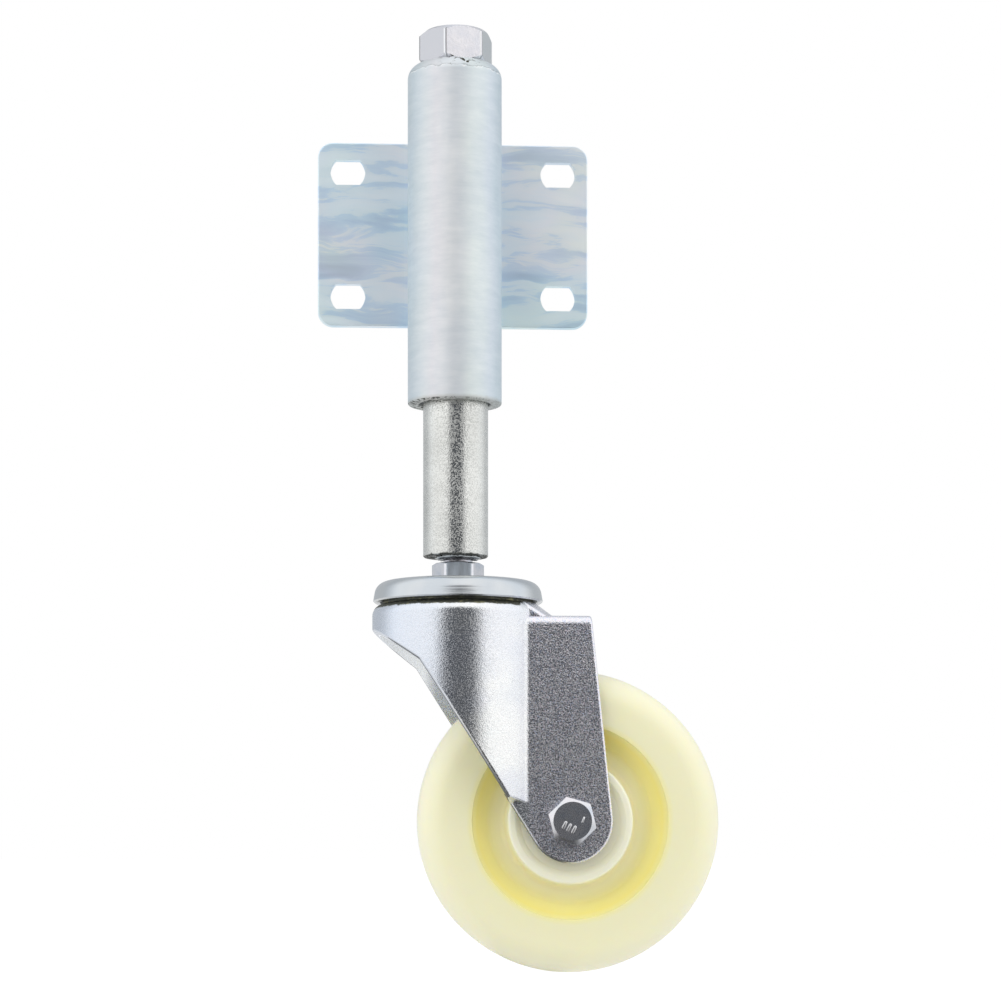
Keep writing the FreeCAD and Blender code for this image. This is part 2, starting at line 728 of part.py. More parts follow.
def lower_race_cup():
    corners = [
        ("Sizes.king_rad + Sizes.king_gap", "Sizes.cup_low"),
        ("Sizes.cup_rad - Sizes.cup_cham", "Sizes.cup_low"),
        ("Sizes.cup_rad", "Sizes.cup_low + Sizes.cup_cham"),
        ("Sizes.cup_rad", "Sizes.cup_lip"),
        ("Sizes.cup_rad - Sizes.cup_wall", "Sizes.cup_lip"),
        ("Sizes.cup_rad - Sizes.cup_wall", "Sizes.cup_top"),
        ("Sizes.king_rad + Sizes.king_gap", "Sizes.cup_top"),
    ]
    blank = turned("race_cup_blank", corners)
    groove = track("cup_track", "Sizes.lball_rad", "Sizes.lball_pitch", "Sizes.lball_z")
    return at(cut("race_cup_cut", blank, groove), *SWIVEL)


def race_balls(name, race, start=0.0):
    """The balls of one swivel race; `race` is the stem of its aliases."""
    return ball_ring(
        name, size(race + "_rad"), size(race + "_pitch"), size(race + "_n"), SWIVEL,
        height=size(race + "_z"), start=start,
    )


# ================================================================ fork
# The fork is one pressed sheet: a round crown under the cap, a lower web on its +X
# side, and two legs.  Its plan is a disc joined to a straight strip, its walls stand
# upright, and one profile seen from the side trims both legs.
def fork_block(tag, inset, extra_depth, blend, crown_round, web_round):
    """The solid inside the sheet's outer face (inset 0) or inner face (inset one sheet)."""
    low = "Sizes.axle_z - Sizes.block_deep - (%s)" % extra_depth
    radius = "Sizes.crown_rad - (%s)" % inset
    half = "(Sizes.leg_out - (%s))" % inset
    web_tall = "Sizes.web_top - (%s) - (%s)" % (inset, low)
    crown_tall = "Sizes.crown_top - (%s) - (%s)" % (inset, low)
    side = value_of(half)
    junction_x = math.sqrt(value_of(radius) ** 2 - side**2)
    web_z = size("web_top") - value_of(inset)
    crown_z = size("crown_top") - value_of(inset)

    def inner_corner(edge, mid):
        straight = edge.Curve.TypeId == "Part::GeomLine"
        return blend if straight and same(mid.x, junction_x) and same(abs(mid.y), side) else None

    disc = cylinder(tag + "_disc", radius, low, web_tall)
    strip = prim(
        "Part::Box", tag + "_strip",
        Length="Sizes.web_end + 30", Width="2 * " + half, Height=web_tall,
    )
    at(strip, "0", "-" + half, low)
    smooth = fillet(tag + "_blend", fuse(tag + "_both", disc, strip), inner_corner)
    walls = fillet(
        tag + "_walls", smooth, lambda edge, mid: web_round if same(mid.z, web_z) else None
    )
    drum = cylinder(tag + "_drum", radius, low, crown_tall)
    crown = fillet(
        tag + "_crown", drum, lambda edge, mid: crown_round if same(mid.z, crown_z) else None
    )
    return fuse(tag, walls, crown)


def press_feet(shell, outer):
    """Press the drum's bulge flat into the plane of each leg, low down.

    The foot round the axle becomes one flat face; a short raking step joins it to the
    bulge above.
    """
    step, leg, deep = "Sizes.foot_step", "Sizes.leg_out", "Sizes.rake_deep"
    raised = step + " + Sizes.rake_rise"
    feet, rakes = [], []
    # name, y of the flat, y of the rib, rake's y range, rake's top at its low and high y
    for tag, flat_y, rib_y, y_low, y_high, top_low, top_high in (
        ("near", "-" + leg, "-Sizes.rib_y - Sizes.rib_wide",
         "-%s - %s" % (leg, deep), "-" + leg, raised, step),
        ("far", LEG_IN, "Sizes.rib_y",
         leg, "%s + %s" % (leg, deep), step, raised),
    ):
        flat = prim(
            "Part::Box", "foot_flat_" + tag, Length="Sizes.foot_long", Width="Sizes.sheet",
            Height="Sizes.foot_step - Sizes.axle_z + Sizes.block_deep",
        )
        at(flat, "Sizes.foot_x", flat_y, "Sizes.axle_z - Sizes.block_deep")
        rib_box = prim(
            "Part::Box", "foot_rib_box_" + tag,
            Length="Sizes.foot_long", Width="Sizes.rib_wide", Height="Sizes.rib_tall",
        )
        at(rib_box, "Sizes.foot_x", rib_y, step + " - Sizes.rib_drop")
        feet += [flat, common("foot_rib_" + tag, rib_box, outer)]
        far_x = "Sizes.foot_x + Sizes.foot_long"
        rake = prim(
            "Part::Wedge", "foot_rake_" + tag,
            Xmin="Sizes.rake_x", X2min="Sizes.rake_x", Xmax=far_x, X2max=far_x,
            Zmin="Sizes.rake_low", Z2min="Sizes.rake_low",
            Ymin=y_low, Ymax=y_high, Zmax=top_low, Z2max=top_high,
        )
        rakes.append(rake)
    return cut("fork_shell_footed", fuse("fork_shell_feet", shell, *feet), *rakes)


def fork_trim():
    """The side profile, in X and Z, that trims the legs and the crown's skirt."""
    centre_x, centre_z, radius = size("trail"), size("axle_z"), size("leg_rad")
    crown_rad, skirt_z = size("crown_rad"), size("skirt_z")
    web_x, web_z = size("web_end"), size("web_top")
    leg_angle = math.radians(size("leg_angle"))

    def on_foot(angle):
        return (centre_x + radius * math.cos(angle), centre_z + radius * math.sin(angle))

    # The leading edge touches the leg's round end here.
    lead_angle = -math.pi / 2 - leg_angle
    lead = on_foot(lead_angle)
    lead_slope = -math.tan(leg_angle)
    # The trailing edge runs from the end of the web, tangent to the round end.
    reach = math.hypot(web_x - centre_x, web_z - centre_z)
    trail_angle = math.atan2(web_z - centre_z, web_x - centre_x) - math.acos(radius / reach)
    trailing = on_foot(trail_angle)
    # The kink is where the skirt's lower edge meets the leading edge.
    skirt_slope = -math.tan(math.radians(size("skirt_slope")))
    kink_x = (skirt_z + skirt_slope * crown_rad - lead[1] + lead_slope * lead[0]) / (
        lead_slope - skirt_slope
    )

    def on_skirt(x):
        return (x, skirt_z + skirt_slope * (x + crown_rad))

    left_x = -crown_rad - 8.0
    top_z = size("crown_top") + 12.0
    top_x = web_x + (web_x - trailing[0]) / (web_z - trailing[1]) * (top_z - web_z)
    left, kink = on_skirt(left_x), on_skirt(kink_x)
    top_right, top_left = (top_x, top_z), (left_x, top_z)

    sketch = doc.addObject("Sketcher::SketchObject", "fork_side_profile")
    turn(sketch, (1, 0, 0), 90)
    centre = FreeCAD.Vector(centre_x, centre_z, 0)
    circle = Part.Circle(centre, FreeCAD.Vector(0, 0, 1), radius)
    for geometry in (
        segment(left, kink),
        segment(kink, lead),
        Part.ArcOfCircle(circle, lead_angle, trail_angle),
        segment(trailing, top_right),
        segment(top_right, top_left),
        segment(top_left, left),
    ):
        sketch.addGeometry(geometry, False)
    joints = ("Coincident", "Tangent", "Tangent", "Coincident", "Coincident", "Coincident")
    for i, kind in enumerate(joints):
        sketch.addConstraint(Sketcher.Constraint(kind, i, 2, (i + 1) % 6, 1))
    for constraint, expr in (
        (Sketcher.Constraint("DistanceX", -1, 1, 2, 3, centre_x), "Sizes.trail"),
        (Sketcher.Constraint("DistanceY", -1, 1, 2, 3, centre_z), "Sizes.axle_z"),
        (Sketcher.Constraint("Radius", 2, radius), "Sizes.leg_rad"),
    ):
        index = sketch.addConstraint(constraint)
        sketch.setExpression("Constraints[%d]" % index, expr)
    return extrusion("fork_trim", sketch, (0, 1, 0), 40, backward=40)


def crown_shoulder():
    """The sloping shoulder from the crown down to the web, on the +X side."""
    cone = prim(
        "Part::Cone", "shoulder_cone", Radius1="Sizes.crown_rad + Sizes.slope_out",
        Radius2="Sizes.crown_rad - Sizes.slope_in", Height="Sizes.slope_tall",
    )
    at(cone, z="Sizes.crown_top - Sizes.slope_drop")
    box = prim(
        "Part::Box", "shoulder_box", Length="40", Width="2 * Sizes.slope_half", Height="12"
    )
    at(box, "Sizes.slope_x", "-Sizes.slope_half", "Sizes.crown_top - 9")
    shoulder = common("crown_shoulder", cone, box)

    def side_edge(edge, mid):
        """The two raking edges at the shoulder's sides."""
        raking = -6.3 < mid.z - size("crown_top") < -0.3
        if same(abs(mid.y), size("slope_half")) and mid.x > 21 and raking:
            return size("slope_soft")
        return None

    return try_fillet("crown_shoulder_soft", shoulder, side_edge) or shoulder


def fork_edge(mid):
    """Whether an edge belongs to the trimmed outer outline of the sheet."""
    if mid.z > size("web_top") - 3.5:
        return False
    on_leg = same(abs(mid.y), size("leg_out")) and mid.x > 20
    on_drum = same(from_z(mid), size("crown_rad"))
    from_axle = math.hypot(mid.x - size("trail"), mid.z - size("axle_z"))
    return (on_leg or on_drum) and from_axle > size("axle_hole") + 2


def soften_fork(sharp):
    """Round the sheet's trimmed edge by the largest of three radii that builds."""
    for soft in (0.9, 0.7, 0.5):
        name = "fork_soft_%d" % (soft * 10)
        rounded = try_fillet(name, sharp, lambda edge, mid: soft if fork_edge(mid) else None)
        if rounded is not None:
            return rounded
    return sharp


def fork():
    outer = fork_block("fork_outer", "0", "0", blend=2.5, crown_round=4.0, web_round=3.0)
    inner = fork_block("fork_inner", "Sizes.sheet", "5", blend=5.0, crown_round=1.5, web_round=0.8)
    shell = press_feet(cut("fork_shell", outer, inner), outer)
    trimmed = common("fork_trimmed", shell, fork_trim())
    whole = fuse("fork_with_shoulder", trimmed, crown_shoulder())
    track_ring = cylinder(
        "track_ring_out", "Sizes.lip_out", "Sizes.crown_top - Sizes.lip_root",
        "Sizes.lip_top - Sizes.crown_top + Sizes.lip_root",
    )
    with_ring = fuse("fork_with_ring", whole, track_ring)
    axle_tool = lay(
        prim("Part::Cylinder", "axle_hole_tool", Radius="Sizes.axle_hole", Height="80")
    )
    sharp = cut(
        "fork_cut",
        with_ring,
        cylinder("ring_hollow", "Sizes.lip_in", "Sizes.crown_top", "6"),
        cylinder("crown_hole_tool", "Sizes.crown_hole", "Sizes.crown_top - 10", "20"),
        track("crown_top_track", "Sizes.uball_rad", "Sizes.uball_pitch", "Sizes.uball_z"),
        track("crown_low_track", "Sizes.lball_rad", "Sizes.lball_pitch", "Sizes.lball_z"),
        at(axle_tool, "Sizes.trail", "-40", "Sizes.axle_z"),
    )
    return at(soften_fork(sharp), *SWIVEL)


# ================================================================ axle
def along_axle(obj):
    """Lay a standing piece at the axle, its +Z running along -Y."""
    return at(turn(obj, (1, 0, 0), 90), *AXLE)


def axle_bolt():
    """Head on the -Y side."""
    head = hexagon(
        "axle", "Sizes.axle_af", "Sizes.leg_out", "Sizes.axle_head", 104.0,
        top_cone="Sizes.axle_af / 2 - 0.75", slope=0.55,
    )
    body = bolt(
        "axle", head, "Sizes.axle_rad", "-Sizes.axle_tip", "Sizes.axle_tip + Sizes.leg_out",
        tip=-size("axle_tip"), soft=size("axle_soft"),
    )
    return along_axle(body)


def axle_nut():
    """On the +Y side."""
    body = nut(
        "axnut", "Sizes.axnut_af", "-Sizes.leg_out - Sizes.axnut_tall", "Sizes.axnut_tall", 17.0,
        bore="Sizes.axle_rad", low_cone="Sizes.axnut_af / 2 - 0.8", slope=0.6,
    )
    return along_axle(body)


def axle_sleeve():
    return ring(
        "axle_sleeve", "Sizes.sleeve_bore", "Sizes.sleeve_rad", "-" + LEG_IN, LEG_IN,
        axis="Y", base=AXLE,
    )


def side_spacer(side, sign):
    """Fills the gap between a bearing and the fork leg."""
    return ring(
        "side_spacer_" + side, "Sizes.sleeve_rad", "Sizes.side_rad",
        "%d * (Sizes.brg_y + Sizes.brg_half)" % sign, "%d * %s" % (sign, LEG_IN),
        axis="Y", base=AXLE,
    )


# ================================================================ ball bearings
def bearing_ring(side, part, blank, place):
    """Cut the ball groove into a ring's blank."""
    groove = lay(doc.addObject("Part::Torus", "%s_%s_groove" % (side, part)))
    groove.setExpression("Radius1", "Sizes.brg_pitch")
    groove.setExpression("Radius2", "Sizes.brg_ball + Sizes.race_gap")
    return at(cut("%s_%s_cut" % (side, part), blank, groove), *place)


def bearing_shields(side, place):
    shields = []
    for face in (-1, 1):
        outside = "Sizes.brg_half - Sizes.shield_inset"
        shields.append(ring(
            "%s_shield_%d" % (side, face + 1),
            "Sizes.brg_land_in + Sizes.shield_gap", "Sizes.brg_land_out",
            "%d * (%s)" % (face, outside), "%d * (%s - Sizes.shield_thk)" % (face, outside),
            axis="Y",
        ))
    return at(compound(side + "_shield_pair", shields), *place)


def bearing_cage(side, sign, place):
    """A ring on the mid plane's side of the balls, with fingers between them."""
    if sign > 0:
        low, high, pocket_low = "-Sizes.cage_deep", "Sizes.cage_edge", "-Sizes.pocket_deep"
    else:
        low, high, pocket_low = "-Sizes.cage_edge", "Sizes.cage_deep", "-Sizes.pocket_edge"
    blank = ring(
        side + "_cage_blank", "Sizes.brg_pitch - Sizes.cage_half",
        "Sizes.brg_pitch + Sizes.cage_half", low, high, axis="Y",
    )
    pockets = []
    count = int(size("brg_n"))
    for i in range(count):
        angle = 2 * math.pi * i / count
        pocket = lay(prim(
            "Part::Cylinder", "%s_pocket_%d" % (side, i),
            Radius="Sizes.brg_ball + Sizes.pocket_gap",
            Height="Sizes.pocket_deep + Sizes.pocket_edge",
        ))
        x = "Sizes.brg_pitch * %.12f" % math.cos(angle)
        z = "Sizes.brg_pitch * %.12f" % math.sin(angle)
        pockets.append(at(pocket, x, pocket_low, z))
    return at(cut(side + "_cage_cut", blank, *pockets), *place)


def bearing(side, sign):
    """The five nodes of one bearing."""
    place = (AXLE[0], AXIS_Y + " + (%d * Sizes.brg_y)" % sign, AXLE[2])
    width = ("-Sizes.brg_half", "Sizes.brg_half")
    stem = side + "_bearing_"
    inner = ring(side + "_inner_blank", "Sizes.brg_in", "Sizes.brg_land_in", *width, axis="Y")
    outer = ring(side + "_outer_blank", "Sizes.brg_land_out", "Sizes.brg_out", *width, axis="Y")
    round_body(
        outer, side + "_outer", lambda edge, mid: size("brg_soft") if from_y(mid) > 12.5 else None
    )
    node(stem + "inner_ring", bearing_ring(side, "inner_ring", inner, place))
    node(stem + "outer_ring", bearing_ring(side, "outer_ring", outer, place))
    node(stem + "shields", bearing_shields(side, place))
    balls = ball_ring(
        side + "_balls", size("brg_ball"), size("brg_pitch"), size("brg_n"), place, axis="Y"
    )
    node(stem + "balls", balls)
    node(stem + "cage", bearing_cage(side, sign, place))


# ================================================================ wheel
# One half of the wheel's section, from the bearing seat out to the tread:
# radius, distance from the mid plane.
WHEEL_HALF = [
    ("Sizes.seat_rad", "Sizes.brg_y - Sizes.brg_half"),
    ("Sizes.brg_out", "Sizes.brg_y - Sizes.brg_half"),
    ("Sizes.brg_out", "Sizes.brg_y + Sizes.brg_half"),
    ("16.6", "Sizes.brg_y + Sizes.brg_half + 0.1"),
    ("18.6", "Sizes.hub_half"),
    ("Sizes.hub_rad", "Sizes.hub_half"),
    ("Sizes.hub_rad + 0.9", "Sizes.recess_floor"),
    ("Sizes.recess_rad - 5.6", "Sizes.recess_floor"),
    ("Sizes.recess_rad - 0.4", "Sizes.wheel_half - 1.2"),
    ("Sizes.recess_rad", "Sizes.wheel_half"),
    ("Sizes.wheel_rad", "Sizes.wheel_half"),
]


def wheel():
    def face_edges(edge, mid):
        radius, y = from_y(mid), abs(mid.y)
        if same(radius, size("wheel_rad")) and same(y, size("wheel_half")):
            return size("tread_round")
        if same(radius, size("hub_rad")) and same(y, size("hub_half")):
            return size("hub_soft")
        if same(y, size("recess_floor")):
            return size("recess_round_in") if radius < 24 else size("recess_round_out")
        return None

    mirrored = [(radius, "-(%s)" % y) for radius, y in reversed(WHEEL_HALF)]
    body = turned("wheel", WHEEL_HALF + mirrored, axis="Y", base=AXLE)
    round_body(body, "wheel", face_edges)
    return body


# ================================================================ build
for make in (
    mounting_plate, housing_tube, plate_welds, rod_guide_bush,
    guide_rod, top_lock_nut, plunger_tube, plunger_head_plug, plunger_foot_plug,
    compression_spring, swivel_bolt, swivel_lock_nut, upper_race_cap, lower_race_cup,
):
    node(make.__name__, make())
node("upper_race_balls", race_balls("upper_balls", "uball", start=0.11))
node("lower_race_balls", race_balls("lower_balls", "lball"))
for make in (fork, axle_bolt, axle_nut, axle_sleeve):
    node(make.__name__, make())
for side, sign in SIDES:
    node(side + "_side_spacer", side_spacer(side, sign))
for side, sign in SIDES:
    bearing(side, sign)
node("wheel", wheel())

# ================================================================ checks and export
doc.recompute()
problems = []
for obj in doc.Objects:
    if any(state in ("Invalid", "Error") for state in obj.State):
        problems.append("%s: %s" % (obj.Label, obj.State))
for name, obj in OUT.items():
    if obj.Shape.isNull() or not obj.Shape.isValid() or not obj.Shape.Solids:
        problems.append("%s has no valid solid" % name)
if problems:
    raise SystemExit("not built: " + "; ".join(problems))
for old in os.listdir("parts"):
    if old.endswith(".step"):
        os.remove(os.path.join("parts", old))
for name, obj in sorted(OUT.items()):
    obj.Shape.exportStep("parts/%s.step" % name)
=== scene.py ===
import json
import math

import bpy
import bmesh
from mathutils import Matrix, Vector, noise


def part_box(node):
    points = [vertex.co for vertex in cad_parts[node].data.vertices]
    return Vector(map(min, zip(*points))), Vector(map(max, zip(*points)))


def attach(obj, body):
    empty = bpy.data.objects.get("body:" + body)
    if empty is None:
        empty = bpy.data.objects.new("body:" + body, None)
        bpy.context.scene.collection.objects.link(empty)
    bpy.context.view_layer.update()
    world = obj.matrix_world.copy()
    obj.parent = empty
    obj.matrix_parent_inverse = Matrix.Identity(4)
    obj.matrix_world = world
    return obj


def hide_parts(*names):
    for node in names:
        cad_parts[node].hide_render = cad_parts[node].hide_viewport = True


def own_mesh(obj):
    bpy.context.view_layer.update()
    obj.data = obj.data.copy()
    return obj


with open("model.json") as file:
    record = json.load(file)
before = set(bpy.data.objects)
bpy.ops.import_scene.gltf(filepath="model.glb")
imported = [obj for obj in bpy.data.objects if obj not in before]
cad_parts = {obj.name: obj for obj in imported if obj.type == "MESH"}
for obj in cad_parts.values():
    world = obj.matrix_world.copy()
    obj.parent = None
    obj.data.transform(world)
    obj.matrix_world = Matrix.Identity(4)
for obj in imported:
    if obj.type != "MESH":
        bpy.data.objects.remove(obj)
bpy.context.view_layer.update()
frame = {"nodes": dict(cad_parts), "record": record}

scene = bpy.context.scene
NODES = frame["nodes"]

# ------------------------------------------------------------------ geometry read from the frame
tube_lo, tube_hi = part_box("housing_tube")
TUBE_X = (tube_lo.x + tube_hi.x) / 2
TUBE_Y = (tube_lo.y + tube_hi.y) / 2
wheel_lo, wheel_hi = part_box("wheel")
AXLE = Vector(((wheel_lo.x + wheel_hi.x) / 2, (wheel_lo.y + wheel_hi.y) / 2, (wheel_lo.z + wheel_hi.z) / 2))
GROUND = wheel_lo.z
plunger_lo, plunger_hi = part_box("plunger_tube")
cap_lo, cap_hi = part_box("upper_race_cap")
SWIVEL = Vector(((cap_lo.x + cap_hi.x) / 2, (cap_lo.y + cap_hi.y) / 2, 0.0))
SWIVEL_X = SWIVEL.x
PLUNGER_X = (plunger_lo.x + plunger_hi.x) / 2
PLUNGER_LOW = plunger_lo.z
MM = 0.001


# ------------------------------------------------------------------ node helpers for materials
class Mat:
    """A small builder for procedural materials: every call adds a node and returns its output."""

    def __init__(self, name):
        self.m = bpy.data.materials.new(name)
        self.m.use_nodes = True
        self.t = self.m.node_tree
        self.t.nodes.clear()
        self.out = self.t.nodes.new("ShaderNodeOutputMaterial")
        self.b = self.t.nodes.new("ShaderNodeBsdfPrincipled")
        self.t.links.new(self.b.outputs[0], self.out.inputs[0])
        self.coord = self.t.nodes.new("ShaderNodeTexCoord").outputs["Object"]

    def node(self, kind, **inputs):
        n = self.t.nodes.new(kind)
        for k, v in inputs.items():
            key = k.replace("_", " ")
            self.put(n.inputs[key] if key in n.inputs else n.inputs[k], v)
        return n

    def put(self, socket, v):
        if isinstance(v, bpy.types.NodeSocket):
            self.t.links.new(v, socket)
        elif isinstance(v, (tuple, list)) and len(v) == 3 and socket.type == "RGBA":
            socket.default_value = (*v, 1.0)
        else:
            socket.default_value = v

    def set(self, **inputs):
        for k, v in inputs.items():
            self.put(self.b.inputs[k.replace("_", " ")], v)
        return self

    def map(self, scale=(1, 1, 1), rotation=(0, 0, 0), location=(0, 0, 0), vector=None):
        n = self.t.nodes.new("ShaderNodeMapping")
        self.put(n.inputs["Vector"], vector or self.coord)
        n.inputs["Scale"].default_value = scale
        n.inputs["Rotation"].default_value = rotation
        n.inputs["Location"].default_value = location
        return n.outputs[0]

    def noise(self, scale, detail=3.0, rough=0.55, distort=0.0, vector=None, kind="FBM"):
        n = self.t.nodes.new("ShaderNodeTexNoise")
        self.put(n.inputs["Vector"], vector or self.coord)
        n.inputs["Scale"].default_value = scale
        n.inputs["Detail"].default_value = detail
        n.inputs["Roughness"].default_value = rough
        n.inputs["Distortion"].default_value = distort
        return n.outputs["Fac"]

    def voronoi(self, scale, feature="F1", vector=None, random=1.0):
        n = self.t.nodes.new("ShaderNodeTexVoronoi")
        n.feature = feature
        self.put(n.inputs["Vector"], vector or self.coord)
        n.inputs["Scale"].default_value = scale
        n.inputs["Randomness"].default_value = random
        return n.outputs["Distance"]

    def ramp(self, fac, stops, interp="LINEAR"):
        n = self.t.nodes.new("ShaderNodeValToRGB")
        n.color_ramp.interpolation = interp
        self.put(n.inputs[0], fac)
        e = n.color_ramp.elements
        while len(e) > 1:
            e.remove(e[-1])
        e[0].position, e[0].color = stops[0][0], self.rgba(stops[0][1])
        for pos, col in stops[1:]:
            x = e.new(pos)
            x.color = self.rgba(col)
        return n.outputs[0]

    @staticmethod
    def rgba(c):
        return (c, c, c, 1.0) if isinstance(c, (int, float)) else (*c, 1.0)

    def math(self, op, a, b=0.0, c=None, clamp=False):
        n = self.t.nodes.new("ShaderNodeMath")
        n.operation = op
        n.use_clamp = clamp
        self.put(n.inputs[0], a)
        self.put(n.inputs[1], b)
        if c is not None:
            self.put(n.inputs[2], c)
        return n.outputs[0]

    def mix(self, fac, a, b, mode="MIX"):
        n = self.t.nodes.new("ShaderNodeMix")
        n.data_type = "RGBA"
        n.blend_type = mode
        self.put(n.inputs[0], fac)
        self.put(n.inputs[6], a if isinstance(a, bpy.types.NodeSocket) else self.rgba(a))
        self.put(n.inputs[7], b if isinstance(b, bpy.types.NodeSocket) else self.rgba(b))
        return n.outputs[2]

    def bump(self, height, strength=0.2, distance=0.0002, normal=None):
        n = self.t.nodes.new("ShaderNodeBump")
        n.inputs["Strength"].default_value = strength
        n.inputs["Distance"].default_value = distance
        self.put(n.inputs["Height"], height)
        if normal is not None:
            self.put(n.inputs["Normal"], normal)
        return n.outputs[0]

    def xyz(self, vector=None):
        n = self.t.nodes.new("ShaderNodeSeparateXYZ")
        self.put(n.inputs[0], vector or self.coord)
        return n.outputs


def srgb(r, g, b):
    """A colour given as 0-255 display values."""
    def f(c):
        c = c / 255.0
        return c / 12.92 if c <= 0.04045 else ((c + 0.055) / 1.055) ** 2.4
    return (f(r), f(g), f(b))


# ------------------------------------------------------------------ materials
def mat_zinc_tube():
    m = Mat("zinc_tube")
    # cool blue on the left, warmer grey and lightest in the middle, pale green to the right: painted shading and
    # reflection across the round tube
    x, y, z = m.xyz()
    across = m.math("ADD", m.math("MULTIPLY", m.math("SUBTRACT", x, TUBE_X), 1.0 / 0.032), 0.5)
    wander = m.math("MULTIPLY", m.math("SUBTRACT", m.noise(30, 2, 0.5), 0.5), 0.22)
    tint = m.ramp(m.math("ADD", across, wander), [
        (0.04, srgb(205, 218, 224)), (0.15, srgb(220, 226, 229)), (0.26, srgb(232, 231, 235)), (0.40, srgb(246, 248, 250)),
        (0.52, srgb(246, 250, 253)), (0.66, srgb(236, 244, 243)), (0.78, srgb(222, 231, 233)), (0.86, srgb(212, 222, 231)), (0.95, srgb(202, 217, 226))])
    patch = m.noise(60, 3, 0.6, vector=m.map((1, 1, 0.6)))
    tint = m.mix(m.ramp(patch, [(0.42, 0.0), (0.62, 0.32)]), tint, srgb(210, 220, 231))
    streak = m.noise(420, 4, 0.65, vector=m.map((0.25, 0.25, 1)))
    col = m.mix(0.20, tint, m.ramp(streak, [(0.3, srgb(196, 206, 212)), (0.7, srgb(252, 252, 252))]))
    fine = m.noise(1300, 5, 0.7, vector=m.map((0.5, 0.5, 1)))
    rough = m.math("ADD", 0.56, m.math("MULTIPLY", m.math("SUBTRACT", fine, 0.5), 0.20))
    h = m.math("ADD", m.math("MULTIPLY", fine, 0.6), m.math("MULTIPLY", streak, 0.5))
    nx, ny, nz = m.xyz(m.t.nodes.new("ShaderNodeTexCoord").outputs["Normal"])
    # the sawn mouth: a darker, warmer band just above it, and dark spots set in small dents on its downward face, most
    # of them to the left; the dark spots are painted shade on the face that looks down
    up = m.math("ADD", m.math("MULTIPLY", m.math("SUBTRACT", z, tube_lo.z), 250.0), m.math("MULTIPLY", m.noise(500, 3, 0.6), 0.3))
    col = m.mix(m.math("MULTIPLY", m.ramp(up, [(0.22, 1.0), (0.55, 0.0)]), 0.45), col, srgb(176, 174, 162))
    face = m.math("MULTIPLY", m.ramp(m.math("MULTIPLY", nz, -1.0), [(0.3, 0.0), (0.6, 1.0)]), m.math("LESS_THAN", up, 0.6))
    side = m.ramp(across, [(0.30, 1.0), (0.55, 0.35)])
    specks = m.math("MULTIPLY", m.ramp(m.noise(800, 3, 0.65, 0.8), [(0.50, 0.0), (0.56, 1.0)]), side)
    col = m.mix(m.math("MULTIPLY", face, specks), col, srgb(36, 38, 34))
    # the top was spun in over the bush: a greyer, ragged band round the top, a broken white line below it that is a
    # painted highlight along the crimped edge, and dark pits round the nut, dented and painted dark as shade in the
    # hollows
    dx = m.math("SUBTRACT", x, TUBE_X)
    dy = m.math("SUBTRACT", y, TUBE_Y)
    r = m.math("SQRT", m.math("ADD", m.math("MULTIPLY", dx, dx), m.math("MULTIPLY", dy, dy)))
    crown = m.math("SUBTRACT", m.math("MULTIPLY", m.math("SUBTRACT", tube_hi.z, z), 250.0), m.math("MULTIPLY", m.noise(260, 3, 0.6, 1.0), 0.7))
    grey_top_band = m.ramp(crown, [(0.0, 0.30), (0.46, 0.30), (0.52, 1.0), (0.57, 0.0)])
    col = m.mix(m.math("MULTIPLY", grey_top_band, 0.50), col, srgb(132, 138, 138))
    col = m.mix(m.math("MULTIPLY", m.ramp(crown, [(0.55, 0.0), (0.60, 0.85), (0.66, 0.0)]), m.ramp(m.noise(520, 3, 0.6), [(0.46, 0.0), (0.56, 1.0)])), col, srgb(253, 254, 254))
    pits = m.math("MULTIPLY", m.ramp(m.noise(300, 3, 0.6, 1.2, vector=m.map((1, 1, 2.6))), [(0.57, 0.0), (0.62, 1.0)]), m.ramp(crown, [(0.50, 1.0), (0.62, 0.0)]))
    pits = m.math("MULTIPLY", pits, m.ramp(across, [(0.30, 0.0), (0.40, 1.0), (0.68, 1.0), (0.80, 0.0)]))
    col = m.mix(pits, col, srgb(58, 58, 44))
    h = m.math("SUBTRACT", h, m.math("MULTIPLY", m.math("ADD", m.math("MULTIPLY", pits, 2.5), m.math("MULTIPLY", face, specks)), 1.0))
    m.set(Metallic=0.82, Base_Color=col, Roughness=rough, Normal=m.bump(h, 0.35, 0.00010))
    return m.m


def mat_zinc_plate():
    m = Mat("zinc_plate")
    # cloudy rolling marks that run along the sheet, with faint blue, green and rose
    warp = m.noise(30, 3, 0.5)
    add = m.t.nodes.new("ShaderNodeVectorMath")
    add.operation = "ADD"
    m.put(add.inputs[0], m.coord)
    comb = m.t.nodes.new("ShaderNodeCombineXYZ")
    m.put(comb.inputs[2], m.math("MULTIPLY", m.math("SUBTRACT", warp, 0.5), 0.012))
    m.put(add.inputs[1], comb.outputs[0])
    wv = add.outputs[0]
    streak = m.noise(110, 5, 0.6, 0.6, vector=m.map((0.26, 1, 1.5), vector=wv))
    tint = m.ramp(streak, [(0.38, srgb(203, 228, 251)), (0.465, srgb(215, 238, 255)), (0.50, srgb(236, 249, 255)), (0.60, srgb(242, 251, 254))])
    hue = m.noise(24, 2, 0.5, vector=m.map((1, 1, 1.5), location=(0.3, 0.1, 0.7)))
    tint = m.mix(0.32, tint, m.ramp(hue, [(0.3, srgb(214, 248, 243)), (0.46, srgb(220, 238, 254)), (0.58, srgb(247, 240, 250)), (0.72, srgb(250, 250, 234))]))
    fine = m.noise(1300, 4, 0.7, vector=m.map((0.4, 1, 1)))
    rough = m.math("ADD", 0.52, m.math("MULTIPLY", m.math("SUBTRACT", streak, 0.5), 0.6))
    h = m.math("ADD", m.math("MULTIPLY", streak, 0.5), m.math("MULTIPLY", fine, 0.5))
    m.set(Metallic=0.70, Base_Color=tint, Roughness=rough, Normal=m.bump(h, 0.20, 0.00010))
    return m.m


